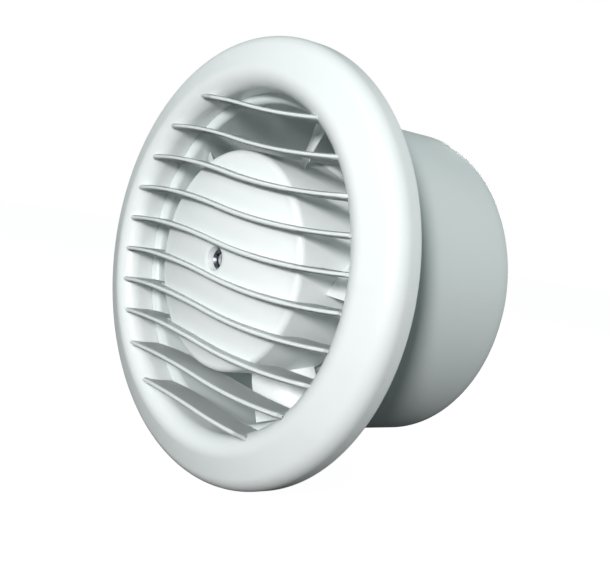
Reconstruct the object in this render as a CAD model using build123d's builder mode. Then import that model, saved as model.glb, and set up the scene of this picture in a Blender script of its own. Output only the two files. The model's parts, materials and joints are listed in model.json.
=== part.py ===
from build123d import *
import os
from math import atan2, cos, hypot, pi, radians, sin, sqrt, tan

os.makedirs("parts", exist_ok=True)

# Round ceiling exhaust fan. The fan's axis is Y: y = 0 is the face that lies on the ceiling,
# the room and the louvred cover are on the -Y side, and the duct spigot points along +Y.
# "Depth" below means the distance from the ceiling face towards the room, so y = -depth.

# Duct spigot and mounting ring, in millimetres
tube_radius = 49.0
tube_wall = 1.6
tube_length = 58.5
tube_end_round = 0.7
inlet_flare = 1.8
ring_thickness = 2.5
tube_seat = 0.6
upstand_rise = 0.4
upstand_wall = 1.6
fixing_count = 4
fixing_hole_radius = 2.1
fixing_boss_gap = 0.825
fixing_boss_height = 0.8
rib_count = 16
rib_wall = 1.2
rib_gap = 0.5

# Front cover
cover_radius = 66.5
cover_wall = 1.8
cover_gap = 0.3
skirt_depth = 5.5
edge_round = 4.0
face_angle = 21.6
bezel_width = 14.5
lip_round = 2.8
grip_clearance = 0.25
finger_count = 4
finger_width = 9.0
finger_wall = 1.5
web_count = 16
web_wall = 1.2
web_gap = 0.7

# Louvres: each one sweeps across the opening in a shallow S made of two arcs
louvre_count = 10
louvre_margin = 7.0
louvre_wall = 1.3
louvre_set_in = 0.4
louvre_middle = 1.7
dome_rise = 5.6
dome_rim_drop = 0.24
dome_rim_inset = 0.4
wave_slope = -0.1702
wave_radius = 223.0
hub_relief = 1.3
hub_side_relief = 1.8
hub_edge_inset = 1.5
hub_edge_step = 0.6
sheet_surplus = 1.0

# Impeller
hub_radius = 32.5
hub_dome_drop = 4.2
hub_corner_round = 2.2
hub_corner_chamfer = 1.0
hub_wall = 1.6
hub_back_gap = 2.0
hub_hole_radius = 3.5
hub_hole_length = 5.0
hub_boss_radius = 4.8
hub_boss_back = 9.0
hub_rib_count = 6
hub_rib_wall = 1.4
hub_rib_back = 3.0
clip_gap = 0.2
clip_thickness = 0.4
clip_slot_length = 1.2
clip_slot_width = 0.5
blade_count = 5
blade_phase = 291.0
blade_wall = 1.5
blade_depth = 12.6
blade_inset = 1.2
blade_root_inset = 4.0
blade_corner = 2.0
blade_surplus = 1.0
blade_root_angle = 46.0
blade_tip_angle = 35.6
blade_camber = 1.7
blade_tip_gap = 1.2

# Motor support
cup_wall = 1.6
cup_front = 17.0
cup_front_wall = 2.0
cup_gap = 1.0
cup_rear_gap = 2.0
cup_round = 1.6
cup_hole_gap = 0.3
strut_count = 4
strut_wall = 2.6
strut_length = 12.5
strut_inset = 3.2
cover_boss_radius = 3.2
cover_boss_overlap = 0.4
cover_boss_inset = 1.8

# Shaded-pole motor
shaft_radius = 2.0
shaft_recess = 2.8
shaft_end_inset = 0.4
shaft_chamfer = 0.3
shaft_running_gap = 0.03
stack_length = 14.0
stack_corner = 1.5
stack_side_edge = 1.75
stack_top_yoke = 5.1
stack_bore_wall = 1.7
limb_height = 10.0
window_half_width = 12.5
rotor_radius = 8.5
rotor_air_gap = 0.4
rotor_overhang = 0.5
rotor_end_ring = 1.2
rotor_ring_step = 0.5
rotor_ring_slope = 1.1
shading_inset = 1.3
shading_size = 1.6
shading_slot_gap = 0.2
shading_angles = (15.0, 50.0)
bobbin_wall = 1.0
bobbin_flange = 1.2
bobbin_clearance = 0.2
coil_build = 2.5
coil_gap = 0.2
coil_corner = 2.2
bracket_thickness = 2.0
bracket_leg = 3.0
bracket_leg_radius = 3.2
bracket_bar_height = 10.0
bearing_boss_radius = 5.5
bearing_boss_rise = 1.4
bearing_boss_inset = 0.1
bush_radius = 3.6
bush_length = 5.0
bush_inset = 0.2
washer_radius = 4.0
washer_thickness = 0.5
washer_gap = 0.3

# Fasteners and wiring
motor_screw_radius = 1.5
motor_screw_wall = 1.9
motor_screw_head_radius = 2.7
motor_screw_head_height = 2.0
motor_screw_slot_width = 0.8
motor_screw_slot_depth = 0.9
motor_screw_tip = 0.4
motor_nut_flat = 5.5
motor_nut_height = 2.4
small_screw_radius = 1.25
small_screw_head_radius = 2.5
small_screw_head_height = 1.7
small_screw_length = 9.0
small_screw_slot_width = 0.7
small_screw_slot_depth = 0.8
small_screw_taper = 8.0
screw_slack = 0.15
plate_rim_gap = 0.1
plate_rim_wall = 1.2
plate_rim_tip_gap = 0.2
plate_chamfer = 0.6
pad_inset = 0.4
block_width = 19.0
block_height = 14.0
block_depth = 8.0
block_pole_reach = 5.0
block_screw_reach = 3.6
block_port_radius = 1.5
block_corner = 1.2
block_well_gap = 0.3
block_head_sink = 1.5
block_notch_width = 1.2
block_notch_depth = 1.5
terminal_screw_radius = 1.6
terminal_screw_sink = 0.8
terminal_slot_width = 0.6
terminal_slot_depth = 0.7
lead_radius = 0.9
lead_bend = 4.0
lead_rise = 3.5
lead_entry = 1.6
lead_hole_gap = 0.4
clamp_height = 14.0
clamp_half_width = 8.5
clamp_bar_height = 4.4
clamp_bar_wall = 2.2
clamp_post_reach = 6.2
clamp_post_height = 3.4
clamp_post_radius = 2.1
clamp_groove_radius = 3.1
clamp_groove_offset = 2.0
clamp_screw_inset = 0.4
grommet_station = 38.5
grommet_bore_radius = 3.0
grommet_wall = 1.4
grommet_flange_radius = 5.6
grommet_flange = 1.0
grommet_fit = 0.02
grommet_sink = 0.1


def polar(radius, degrees):
    """A point at this radius and angle in a local plane."""
    return (radius * cos(radians(degrees)), radius * sin(radians(degrees)))


def shifted(centre, radius, degrees):
    """A point on a circle about a centre."""
    return (centre[0] + radius * cos(radians(degrees)), centre[1] + radius * sin(radians(degrees)))


def radial_plane(degrees, radius=0.0):
    """A plane that faces outwards from the fan's axis; its local x runs along +Y."""
    out = (cos(radians(degrees)), 0, sin(radians(degrees)))
    return Plane(origin=(radius * out[0], 0, radius * out[2]), x_dir=(0, 1, 0), z_dir=out)


def axial_plane(y):
    """A plane across the fan's axis at this y, with local x = X and local y = Z; extrudes towards -Y."""
    return Plane.XZ.offset(-y)


def half_plane(degrees):
    """A plane through the fan's axis: local x is the radius, local y is Y."""
    across = (-sin(radians(degrees)), 0, cos(radians(degrees)))
    return Plane(origin=(0, 0, 0), x_dir=(cos(radians(degrees)), 0, sin(radians(degrees))), z_dir=across)


# Sizes that follow from the driving ones
tube_bore = tube_radius - tube_wall
opening_radius = cover_radius - bezel_width
collar_outer = opening_radius + cover_wall
collar_back = ring_thickness + cover_gap
ring_radius = cover_radius - cover_wall - grip_clearance
ring_front = -ring_thickness
upstand_inner = ring_radius - upstand_wall
upstand_front = -(skirt_depth + upstand_rise)
fixing_pitch_radius = (collar_outer + upstand_inner) / 2
fixing_boss_radius = (upstand_inner - collar_outer) / 2 - fixing_boss_gap

# Where the cover's conical face meets its rounded edge and its rolled inner lip, as (radius, depth)
face_normal = 90.0 - face_angle
edge_centre = (cover_radius - edge_round, skirt_depth)
face_offset = sin(radians(face_angle)) * edge_centre[0] + cos(radians(face_angle)) * edge_centre[1] + edge_round
lip_centre_radius = opening_radius + lip_round


def face_depth(radius, inset):
    """Depth of the bezel's conical face at this radius, or of a surface this far inside it."""
    return (face_offset - inset - sin(radians(face_angle)) * radius) / cos(radians(face_angle))


lip_centre_depth = face_depth(lip_centre_radius, lip_round)
lip_centre = (lip_centre_radius, lip_centre_depth)

# The louvres' spherical dome starts just inside the rolled lip; the hub's apex lies behind its middle
louvre_pitch = 2 * (opening_radius - louvre_margin) / (louvre_count - 1)
louvre_back_depth = collar_back + louvre_set_in
dome_rim_radius = lip_centre_radius - dome_rim_inset
dome_rim_depth = lip_centre_depth + lip_round - dome_rim_drop
dome_depth = dome_rim_depth + dome_rise
hub_depth = dome_depth - louvre_middle - hub_relief
hub_back = cup_front - hub_back_gap
blade_back = hub_back - blade_inset
blade_front = blade_back - blade_depth
clip_front = -hub_depth + hub_hole_length
shaft_front = -hub_depth + shaft_recess

# The motor: the stack's outline follows from its bore, shading slots, screws and coil window
rotor_bore = rotor_radius + rotor_air_gap
slot_size = shading_size + 2 * shading_slot_gap
shading_reach = rotor_bore + shading_inset + slot_size / 2
motor_screw_hole = motor_screw_radius + screw_slack
motor_screw_reach = shading_reach + slot_size / 2 + motor_screw_wall + motor_screw_hole
window_height = bobbin_clearance + bobbin_wall + coil_build + coil_gap
stack_half_width = motor_screw_reach + motor_screw_radius + stack_side_edge
stack_top = rotor_bore + stack_top_yoke
limb_top = -(rotor_bore + stack_bore_wall + window_height)
stack_bottom = limb_top - limb_height
limb_middle = (stack_bottom + limb_top) / 2
lead_height = limb_middle + lead_rise

# The cup surrounds the stack, and everything in it is stacked up from the cup's floor
cup_bore = hypot(stack_half_width - stack_corner, stack_bottom + stack_corner) + stack_corner + cup_gap
cup_radius = cup_bore + cup_wall
cup_floor = cup_front + cup_front_wall
cup_hole_radius = bearing_boss_radius + cup_hole_gap
front_bracket_back = cup_floor + bracket_thickness
stack_front = front_bracket_back + bracket_leg
stack_back = stack_front + stack_length
rear_bracket_front = stack_back + bracket_leg
rear_bracket_back = rear_bracket_front + bracket_thickness
rotor_front = stack_front - rotor_overhang
rotor_back = stack_back + rotor_overhang
washer_room = washer_thickness + 2 * washer_gap
front_boss_back = rotor_front - washer_room
rear_boss_back = rear_bracket_back + bearing_boss_rise
shaft_back = rear_boss_back - shaft_end_inset
cup_back = rear_bracket_back + motor_screw_head_height + cup_rear_gap
cover_plate_back = cup_back + cup_wall
cover_boss_reach = cup_bore - cover_boss_radius + cover_boss_overlap
cover_boss_top = cup_back - cover_boss_inset
strut_front = cup_front + strut_inset


def room_side(point):
    """Turn a (radius, depth) pair into sketch coordinates (radius, y)."""
    return (point[0], -point[1])


def wave_at(x):
    """Height of a louvre above its own level, at this x."""
    rise = wave_slope * abs(x) + x * x / (2 * wave_radius)
    return rise if x > 0 else -rise


# Mounting ring: a flat ring against the ceiling, with a bellmouth, an upstand that the cover grips,
# screw bosses and tapered ribs between them
with BuildPart() as mounting_ring:
    with BuildSketch(Plane.XY) as ring_profile:
        with BuildLine():
            flare_end = (tube_bore + inlet_flare, ring_front)
            flare_start = (tube_bore, ring_front + inlet_flare)
            Polyline(
                flare_end,
                (upstand_inner, ring_front),
                (upstand_inner, upstand_front),
                (ring_radius, upstand_front),
                (ring_radius, 0),
                (tube_radius, 0),
                (tube_radius - tube_seat, -tube_seat),
                (tube_bore, -tube_seat),
                flare_start,
            )
            RadiusArc(flare_start, flare_end, inlet_flare)
        make_face()
    revolve(axis=Axis.Y)
    with BuildSketch(axial_plane(ring_front)) as fixing_bosses:
        with PolarLocations(fixing_pitch_radius, fixing_count):
            Circle(fixing_boss_radius)
    extrude(amount=fixing_boss_height)
    with BuildSketch(axial_plane(0)) as fixing_holes:
        with PolarLocations(fixing_pitch_radius, fixing_count):
            Circle(fixing_hole_radius)
    extrude(amount=ring_thickness + fixing_boss_height, mode=Mode.SUBTRACT)
    rib_start = collar_outer + cover_gap + rib_gap
    rib_end = ring_radius - upstand_wall / 2
    for i in range(rib_count):
        with BuildSketch(half_plane((i + 0.5) * 360.0 / rib_count)) as rib_outline:
            with BuildLine():
                Polyline(
                    (rib_start, ring_front / 2),
                    (rib_end, ring_front / 2),
                    (rib_end, upstand_front + rib_gap),
                    (rib_start, ring_front - rib_gap),
                    close=True,
                )
            make_face()
        extrude(amount=rib_wall / 2, both=True)
mounting_ring.part.label = "mounting_ring"

# Duct tube, its tapered foot seated in the ring's recess, with a hole for the cable grommet
with BuildPart() as duct_tube:
    with BuildSketch(axial_plane(tube_length)) as tube_section:
        Circle(tube_radius)
        Circle(tube_bore, mode=Mode.SUBTRACT)
    extrude(amount=tube_length + tube_seat)
    tube_rims = duct_tube.edges().filter_by(GeomType.CIRCLE).filter_by_position(
        Axis.Y, tube_length - 0.01, tube_length + 0.01
    )
    fillet(tube_rims, tube_end_round)
    foot_rims = duct_tube.edges().filter_by(GeomType.CIRCLE).filter_by_position(
        Axis.Y, -tube_seat - 0.01, -tube_seat + 0.01
    )
    chamfer(foot_rims.sort_by(SortBy.RADIUS)[-1], tube_seat)
    with BuildSketch(radial_plane(180, tube_bore - grommet_flange)) as grommet_hole:
        with Locations((grommet_station, 0)):
            Circle(grommet_bore_radius + grommet_wall)
    extrude(amount=tube_wall + 2 * grommet_flange, mode=Mode.SUBTRACT)
duct_tube.part.label = "duct_tube"

# The cover's turned section: a conical bezel with a rounded edge and a rolled lip, and its collar
with BuildSketch(Plane.XY) as cover_profile:
    with BuildLine():
        outer_edge = [shifted(edge_centre, edge_round, a) for a in (0, face_normal / 2, face_normal)]
        outer_lip = [shifted(lip_centre, lip_round, a) for a in (face_normal, (face_normal + 180) / 2, 180)]
        inner_round = lip_round - cover_wall
        inner_lip = [shifted(lip_centre, inner_round, a) for a in (180, (face_normal + 180) / 2, face_normal)]
        inner_edge_round = edge_round - cover_wall
        inner_edge = [shifted(edge_centre, inner_edge_round, a) for a in (face_normal, face_normal / 2, 0)]
        Line(room_side((cover_radius, cover_gap)), room_side(outer_edge[0]))
        ThreePointArc(*[room_side(p) for p in outer_edge])
        Line(room_side(outer_edge[2]), room_side(outer_lip[0]))
        ThreePointArc(*[room_side(p) for p in outer_lip])
        Polyline(
            room_side(outer_lip[2]),
            room_side((opening_radius, collar_back)),
            room_side((collar_outer, collar_back)),
            room_side(inner_lip[0]),
        )
        ThreePointArc(*[room_side(p) for p in inner_lip])
        Line(room_side(inner_lip[2]), room_side(inner_edge[0]))
        ThreePointArc(*[room_side(p) for p in inner_edge])
        Polyline(
            room_side(inner_edge[2]),
            room_side((cover_radius - cover_wall, cover_gap)),
            room_side((cover_radius, cover_gap)),
        )
    make_face()

# Cover bezel: the turned section with stiffening webs and the spring fingers that grip the ring's upstand
with BuildPart() as cover_bezel:
    revolve(cover_profile.sketch, axis=Axis.Y)
    web_start = opening_radius + cover_wall * 0.5
    web_end = upstand_inner - finger_wall - 2 * grip_clearance
    web_back = -upstand_front + web_gap
    for i in range(web_count):
        with BuildSketch(half_plane(i * 360.0 / web_count)) as web:
            with BuildLine():
                Polyline(
                    room_side((web_start, web_back)),
                    room_side((web_end, web_back)),
                    room_side((web_end, face_depth(web_end, cover_wall * 0.5))),
                    room_side((lip_centre_radius, lip_centre_depth + inner_round + cover_wall * 0.4)),
                    room_side((web_start, lip_centre_depth)),
                    close=True,
                )
            make_face()
        extrude(amount=web_wall / 2, both=True)
    finger_outer = upstand_inner - grip_clearance
    finger_inner = finger_outer - finger_wall
    finger_root = face_depth(finger_inner, cover_wall * 0.6)
    for i in range(finger_count):
        finger_angle = (i + 0.5) * 360.0 / finger_count
        with BuildSketch(radial_plane(finger_angle, finger_inner)) as finger:
            with Locations((-(finger_root + collar_back) / 2, 0)):
                Rectangle(finger_root - collar_back, finger_width)
        extrude(amount=finger_wall)
cover_bezel.part.label = "cover_bezel"

# Louvres: S-shaped sheets cut to a shallow spherical dome in front, to the hub's relief behind and to the
# bezel's lip and collar at their ends
with BuildPart() as cover_louvres:
    sheet_reach = lip_centre_radius + sheet_surplus
    for i in range(louvre_count):
        level = (i - (louvre_count - 1) / 2) * louvre_pitch
        with BuildSketch(axial_plane(-louvre_back_depth)) as sheet_profile:
            with BuildLine():
                for lift in (louvre_wall / 2, -louvre_wall / 2):
                    wave = [
                        (x, level + lift + wave_at(x))
                        for x in (-sheet_reach, -sheet_reach / 2, 0, sheet_reach / 2, sheet_reach)
                    ]
                    ThreePointArc(*wave[:3])
                    ThreePointArc(*wave[2:])
                for x in (-sheet_reach, sheet_reach):
                    Line(
                        (x, level + wave_at(x) - louvre_wall / 2),
                        (x, level + wave_at(x) + louvre_wall / 2),
                    )
            make_face()
        extrude(amount=dome_depth - louvre_back_depth + sheet_surplus)
    with BuildSketch(Plane.XY) as bank_envelope:
        with BuildLine():
            dome_drop = dome_depth - dome_rim_depth
            dome_ball = (dome_rim_radius ** 2 + dome_drop ** 2) / (2 * dome_drop)
            dome_half_depth = dome_depth - dome_ball + sqrt(dome_ball ** 2 - (dome_rim_radius / 2) ** 2)
            collar_middle = opening_radius + cover_wall * 0.65
            relief_radius = hub_radius + hub_side_relief
            relief_edge = (hub_radius - hub_edge_inset, -(hub_depth - hub_dome_drop + hub_relief))
            relief_top = (0, -(hub_depth + hub_relief))
            relief_middle = (hub_radius / 2, -(hub_depth - hub_dome_drop * 0.25 + hub_relief))
            Line((0, -dome_depth), relief_top)
            ThreePointArc(relief_top, relief_middle, relief_edge)
            Polyline(
                relief_edge,
                (relief_radius, -(hub_depth - hub_dome_drop - hub_edge_step)),
                (relief_radius, -louvre_back_depth),
                (collar_middle, -louvre_back_depth),
                (collar_middle, -lip_centre_depth),
                (dome_rim_radius, -(lip_centre_depth + inner_round + cover_wall * 0.5)),
                (dome_rim_radius, -dome_rim_depth),
            )
            ThreePointArc(
                (dome_rim_radius, -dome_rim_depth),
                (dome_rim_radius / 2, -dome_half_depth),
                (0, -dome_depth),
            )
        make_face()
    revolve(axis=Axis.Y, mode=Mode.INTERSECT)
    revolve(cover_profile.sketch, axis=Axis.Y, mode=Mode.SUBTRACT)
cover_louvres.part.label = "cover_louvres"

# Impeller hub: a domed cap on a skirt, hollow behind, with a boss for the shaft
hub_edge = (hub_radius, hub_depth - hub_dome_drop - hub_corner_round)
dome_foot = (hub_radius - hub_corner_round, hub_depth - hub_dome_drop)
sphere_radius = (dome_foot[0] ** 2 + hub_dome_drop ** 2) / (2 * hub_dome_drop)


def hub_dome_at(radius, inset=0.0):
    """Depth of the hub's dome at this radius, or of its inner face with the wall as inset."""
    return hub_depth - sphere_radius + sqrt((sphere_radius - inset) ** 2 - radius ** 2)


# Impeller blades: twisted, cambered sections between the hub and the tips
with BuildPart() as impeller_blades:
    blade_middle = (blade_front + blade_back) / 2
    tip_radius = tube_bore - blade_tip_gap
    root_plane_radius = hub_radius - blade_root_inset
    for turn in range(blade_count):
        heading = blade_phase + turn * 360.0 / blade_count
        for station, angle in ((root_plane_radius, blade_root_angle), (tip_radius + blade_surplus, blade_tip_angle)):
            half_span = blade_depth / 2 / tan(radians(angle))
            bow = blade_camber / cos(radians(angle))
            with BuildSketch(radial_plane(heading, station)) as blade_section:
                with BuildLine():
                    lead = (blade_front, -half_span)
                    trail = (blade_back, half_span)
                    ThreePointArc(lead, (blade_middle - bow, 0), trail)
                    ThreePointArc(lead, (blade_middle - bow + blade_wall / cos(radians(angle)), 0), trail)
                make_face()
        loft()
    with BuildSketch(Plane.XY) as blade_envelope:
        with BuildLine():
            Polyline(
                (hub_radius, blade_front - blade_surplus),
                (hub_radius + blade_corner, blade_front - blade_surplus),
                (tip_radius, blade_front + blade_corner),
                (tip_radius, blade_back + blade_surplus),
                (hub_radius, blade_back + blade_surplus),
                close=True,
            )
        make_face()
    revolve(axis=Axis.Y, mode=Mode.INTERSECT)
impeller_blades.part.label = "impeller_blades"

with BuildPart() as impeller_hub:
    with BuildSketch(Plane.XY) as hub_profile:
        with BuildLine():
            corner_middle = shifted((dome_foot[0], hub_edge[1]), hub_corner_round, 45)
            inner_foot = hub_radius - hub_wall - hub_corner_chamfer
            Line((hub_boss_radius, -hub_dome_at(hub_boss_radius)), (hub_hole_radius, -hub_dome_at(hub_hole_radius)))
            Polyline(
                (hub_hole_radius, -hub_dome_at(hub_hole_radius)),
                (hub_hole_radius, clip_front),
                (shaft_radius, clip_front),
                (shaft_radius, hub_boss_back),
                (hub_boss_radius, hub_boss_back),
                (hub_boss_radius, -hub_dome_at(hub_boss_radius, hub_wall)),
            )
            ThreePointArc(
                (hub_boss_radius, -hub_dome_at(hub_boss_radius, hub_wall)),
                (hub_radius * 0.55, -hub_dome_at(hub_radius * 0.55, hub_wall)),
                (inner_foot, -hub_dome_at(inner_foot, hub_wall)),
            )
            Polyline(
                (inner_foot, -hub_dome_at(inner_foot, hub_wall)),
                (hub_radius - hub_wall, -hub_dome_at(inner_foot, hub_wall) + hub_corner_chamfer),
                (hub_radius - hub_wall, hub_back),
                (hub_radius, hub_back),
                room_side(hub_edge),
            )
            ThreePointArc(room_side(hub_edge), room_side(corner_middle), room_side(dome_foot))
            ThreePointArc(
                room_side(dome_foot),
                (hub_radius * 0.5, -hub_dome_at(hub_radius * 0.5)),
                (hub_boss_radius, -hub_dome_at(hub_boss_radius)),
            )
        make_face()
    revolve(axis=Axis.Y)
    rib_root = (hub_boss_radius + shaft_radius) / 2
    for i in range(hub_rib_count):
        with BuildSketch(half_plane((i + 0.5) * 360.0 / hub_rib_count)) as hub_rib:
            with BuildLine():
                Polyline(
                    (rib_root, hub_rib_back),
                    (hub_radius * 0.4, hub_rib_back),
                    (hub_radius - hub_wall / 2, -hub_rib_back),
                    (hub_radius - hub_wall / 2, -(hub_edge[1] - hub_corner_chamfer)),
                    (hub_radius * 0.85, -hub_dome_at(hub_radius * 0.85, hub_wall / 2)),
                    (hub_radius * 0.6, -hub_dome_at(hub_radius * 0.6, hub_wall / 2)),
                    (rib_root, -hub_dome_at(rib_root, hub_wall / 2)),
                    close=True,
                )
            make_face()
        extrude(amount=hub_rib_wall / 2, both=True)
impeller_hub.part.label = "impeller_hub"

# Push-on clip that holds the impeller on the shaft, at the bottom of the hub's hole
with BuildPart() as impeller_clip:
    with BuildSketch(axial_plane(clip_front)) as clip_disc:
        Circle(hub_hole_radius - clip_gap)
        Circle(shaft_radius, mode=Mode.SUBTRACT)
        with PolarLocations(shaft_radius + clip_slot_length / 3, 3):
            Rectangle(clip_slot_length, clip_slot_width, mode=Mode.SUBTRACT)
    extrude(amount=clip_thickness)
impeller_clip.part.label = "impeller_clip"

# Motor shaft with chamfered ends
with BuildPart() as motor_shaft:
    with BuildSketch(axial_plane(shaft_back)) as shaft_section:
        Circle(shaft_radius)
    extrude(amount=shaft_back - shaft_front)
    chamfer(motor_shaft.edges().filter_by(GeomType.CIRCLE), shaft_chamfer)
motor_shaft.part.label = "motor_shaft"

# Rotor: laminated core with cast end rings, pressed on the shaft
with BuildPart() as rotor_core:
    ring_outer = rotor_radius - rotor_ring_step
    with BuildSketch(Plane.XY) as rotor_profile:
        with BuildLine():
            Polyline(
                (shaft_radius, rotor_front),
                (ring_outer - rotor_ring_slope, rotor_front),
                (ring_outer, rotor_front + rotor_end_ring),
                (rotor_radius, rotor_front + rotor_end_ring),
                (rotor_radius, rotor_back - rotor_end_ring),
                (ring_outer, rotor_back - rotor_end_ring),
                (ring_outer - rotor_ring_slope, rotor_back),
                (shaft_radius, rotor_back),
                close=True,
            )
        make_face()
    revolve(axis=Axis.Y)
rotor_core.part.label = "rotor_core"

# Two thrust washers on the shaft, one at each end of the rotor
with BuildPart() as shaft_washers:
    for washer_back in (rotor_front - washer_gap, rotor_back + washer_gap + washer_thickness):
        with BuildSketch(axial_plane(washer_back)) as washer_ring:
            Circle(washer_radius)
            Circle(shaft_radius, mode=Mode.SUBTRACT)
        extrude(amount=washer_thickness)
shaft_washers.part.label = "shaft_washers"

# Motor cup: it holds the motor, and its rear is open for the cover
with BuildPart() as motor_cup:
    with BuildSketch(Plane.XY) as cup_profile:
        with BuildLine():
            Polyline(
                (cup_hole_radius, cup_front),
                (cup_radius, cup_front),
                (cup_radius, cup_back),
                (cup_bore, cup_back),
                (cup_bore, cup_floor),
                (cup_hole_radius, cup_floor),
                close=True,
            )
        make_face()
    revolve(axis=Axis.Y)
    cup_rim = (
        motor_cup.edges()
        .filter_by(GeomType.CIRCLE)
        .filter_by_position(Axis.Y, cup_front - 0.01, cup_front + 0.01)
        .sort_by(SortBy.RADIUS)[-1]
    )
    fillet(cup_rim, cup_round)
    with BuildSketch(axial_plane(cover_boss_top)) as cover_bosses:
        with Locations((-cover_boss_reach, 0), (cover_boss_reach, 0)):
            Circle(cover_boss_radius)
    extrude(amount=cover_boss_top - cup_floor)
    with BuildSketch(axial_plane(cover_boss_top)) as pilot_holes:
        with Locations((-cover_boss_reach, 0), (cover_boss_reach, 0)):
            Circle(small_screw_radius)
    extrude(amount=small_screw_length, mode=Mode.SUBTRACT)
    with BuildSketch(axial_plane(cup_floor)) as motor_screw_holes:
        with Locations((-motor_screw_reach, 0), (motor_screw_reach, 0)):
            Circle(motor_screw_hole)
    extrude(amount=cup_front_wall, mode=Mode.SUBTRACT)
motor_cup.part.label = "motor_cup"

# Four streamlined struts between the motor cup and the duct tube
with BuildPart() as support_struts:
    for i in range(strut_count):
        strut_angle = (i + 0.5) * 360.0 / strut_count
        with BuildSketch(radial_plane(strut_angle, cup_radius - cup_wall / 2)) as strut_section:
            with Locations((strut_front + strut_length / 2, 0)):
                SlotOverall(strut_length, strut_wall)
        extrude(amount=tube_radius - cup_radius)
    with BuildSketch(axial_plane(tube_length)) as strut_limits:
        Circle(tube_bore)
        Circle(cup_radius, mode=Mode.SUBTRACT)
    extrude(amount=tube_length, mode=Mode.INTERSECT)
support_struts.part.label = "support_struts"

# Stator: the laminated frame with its bore, coil window, screw holes and shading slots
with BuildPart() as stator_core:
    with BuildSketch(axial_plane(stack_back)) as lamination:
        with Locations((0, (stack_top + stack_bottom) / 2)):
            RectangleRounded(2 * stack_half_width, stack_top - stack_bottom, stack_corner)
        Circle(rotor_bore, mode=Mode.SUBTRACT)
        with Locations((0, limb_top + window_height / 2)):
            Rectangle(2 * window_half_width, window_height, mode=Mode.SUBTRACT)
        with Locations((-motor_screw_reach, 0), (motor_screw_reach, 0)):
            Circle(motor_screw_hole, mode=Mode.SUBTRACT)
        for side in (0, 180):
            for angle in shading_angles:
                with Locations(Location((*polar(shading_reach, angle + side), 0), angle + side)):
                    Rectangle(slot_size, slot_size, mode=Mode.SUBTRACT)
    extrude(amount=stack_length)
stator_core.part.label = "stator_core"

# Shading rings: a closed copper loop through each pair of slots
with BuildPart() as shading_rings:
    for side in (0, 180):
        ends = [polar(shading_reach, angle + side) for angle in shading_angles]
        for angle in shading_angles:
            with BuildSketch(axial_plane(stack_back)) as leg_section:
                with Locations(Location((*polar(shading_reach, angle + side), 0), angle + side)):
                    Rectangle(shading_size, shading_size)
            extrude(amount=stack_length)
        middle = ((ends[0][0] + ends[1][0]) / 2, (ends[0][1] + ends[1][1]) / 2)
        span = hypot(ends[1][0] - ends[0][0], ends[1][1] - ends[0][1])
        tilt = atan2(ends[1][1] - ends[0][1], ends[1][0] - ends[0][0]) * 180 / pi
        for bar_back in (stack_front, stack_back + shading_size):
            with BuildSketch(axial_plane(bar_back)) as bar_section:
                with Locations(Location((*middle, 0), tilt)):
                    SlotCenterToCenter(span, shading_size)
            extrude(amount=shading_size)
shading_rings.part.label = "shading_rings"

# Coil bobbin on the lower limb, with a flange at each end
stack_middle = (stack_front + stack_back) / 2
core_length = stack_length + 2 * bobbin_clearance
core_height = limb_height + 2 * bobbin_clearance
former_thickness = core_length + 2 * bobbin_wall
former_height = core_height + 2 * bobbin_wall
bobbin_half = window_half_width - bobbin_clearance
flange_length = former_thickness + 2 * coil_build + 2 * coil_gap
flange_height = former_height + 2 * coil_build
side_plane = Plane(origin=(0, stack_middle, limb_middle), x_dir=(0, 1, 0), z_dir=(1, 0, 0))
with BuildPart() as coil_bobbin:
    with BuildSketch(side_plane) as bobbin_tube:
        Rectangle(former_thickness, former_height)
    extrude(amount=bobbin_half, both=True)
    for side in (-1, 1):
        with BuildSketch(side_plane.offset(side * (bobbin_half - bobbin_flange / 2))) as bobbin_end:
            Rectangle(flange_length, flange_height)
        extrude(amount=bobbin_flange / 2, both=True)
    with BuildSketch(side_plane) as bobbin_core:
        Rectangle(core_length, core_height)
    extrude(amount=bobbin_half, both=True, mode=Mode.SUBTRACT)
coil_bobbin.part.label = "coil_bobbin"

# Coil winding between the bobbin's flanges
coil_half = bobbin_half - bobbin_flange
coil_back = stack_middle + former_thickness / 2 + coil_build
with BuildPart() as coil_winding:
    with BuildSketch(side_plane) as winding_section:
        RectangleRounded(former_thickness + 2 * coil_build, former_height + 2 * (coil_build - coil_gap), coil_corner)
        Rectangle(former_thickness, former_height, mode=Mode.SUBTRACT)
    extrude(amount=coil_half, both=True)
coil_winding.part.label = "coil_winding"


def bearing_bracket(bar_back, leg_back, boss_back, boss_length):
    """A bracket across the stack: a bar, two legs on the stack and a boss with the bush's seat."""
    with BuildPart() as bracket:
        with BuildSketch(axial_plane(bar_back)) as bar:
            SlotOverall(2 * (motor_screw_reach + bracket_leg_radius), bracket_bar_height)
        extrude(amount=bracket_thickness)
        with BuildSketch(axial_plane(leg_back)) as legs:
            with Locations((-motor_screw_reach, 0), (motor_screw_reach, 0)):
                Circle(bracket_leg_radius)
        extrude(amount=bracket_leg)
        with BuildSketch(axial_plane(boss_back)) as boss:
            Circle(bearing_boss_radius)
        extrude(amount=boss_length)
        with BuildSketch(axial_plane(boss_back)) as bush_seat:
            Circle(bush_radius)
        extrude(amount=boss_length, mode=Mode.SUBTRACT)
        with BuildSketch(axial_plane(max(bar_back, leg_back))) as screw_holes:
            with Locations((-motor_screw_reach, 0), (motor_screw_reach, 0)):
                Circle(motor_screw_hole)
        extrude(amount=bracket_thickness + bracket_leg, mode=Mode.SUBTRACT)
    return bracket.part


front_boss_length = front_boss_back - cup_front - bearing_boss_inset
rear_boss_length = rear_boss_back - rotor_back - washer_room
front_bracket = bearing_bracket(front_bracket_back, stack_front, front_boss_back, front_boss_length)
front_bracket.label = "front_bracket"
rear_bracket = bearing_bracket(rear_bracket_back, rear_bracket_front, rear_boss_back, rear_boss_length)
rear_bracket.label = "rear_bracket"


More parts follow.
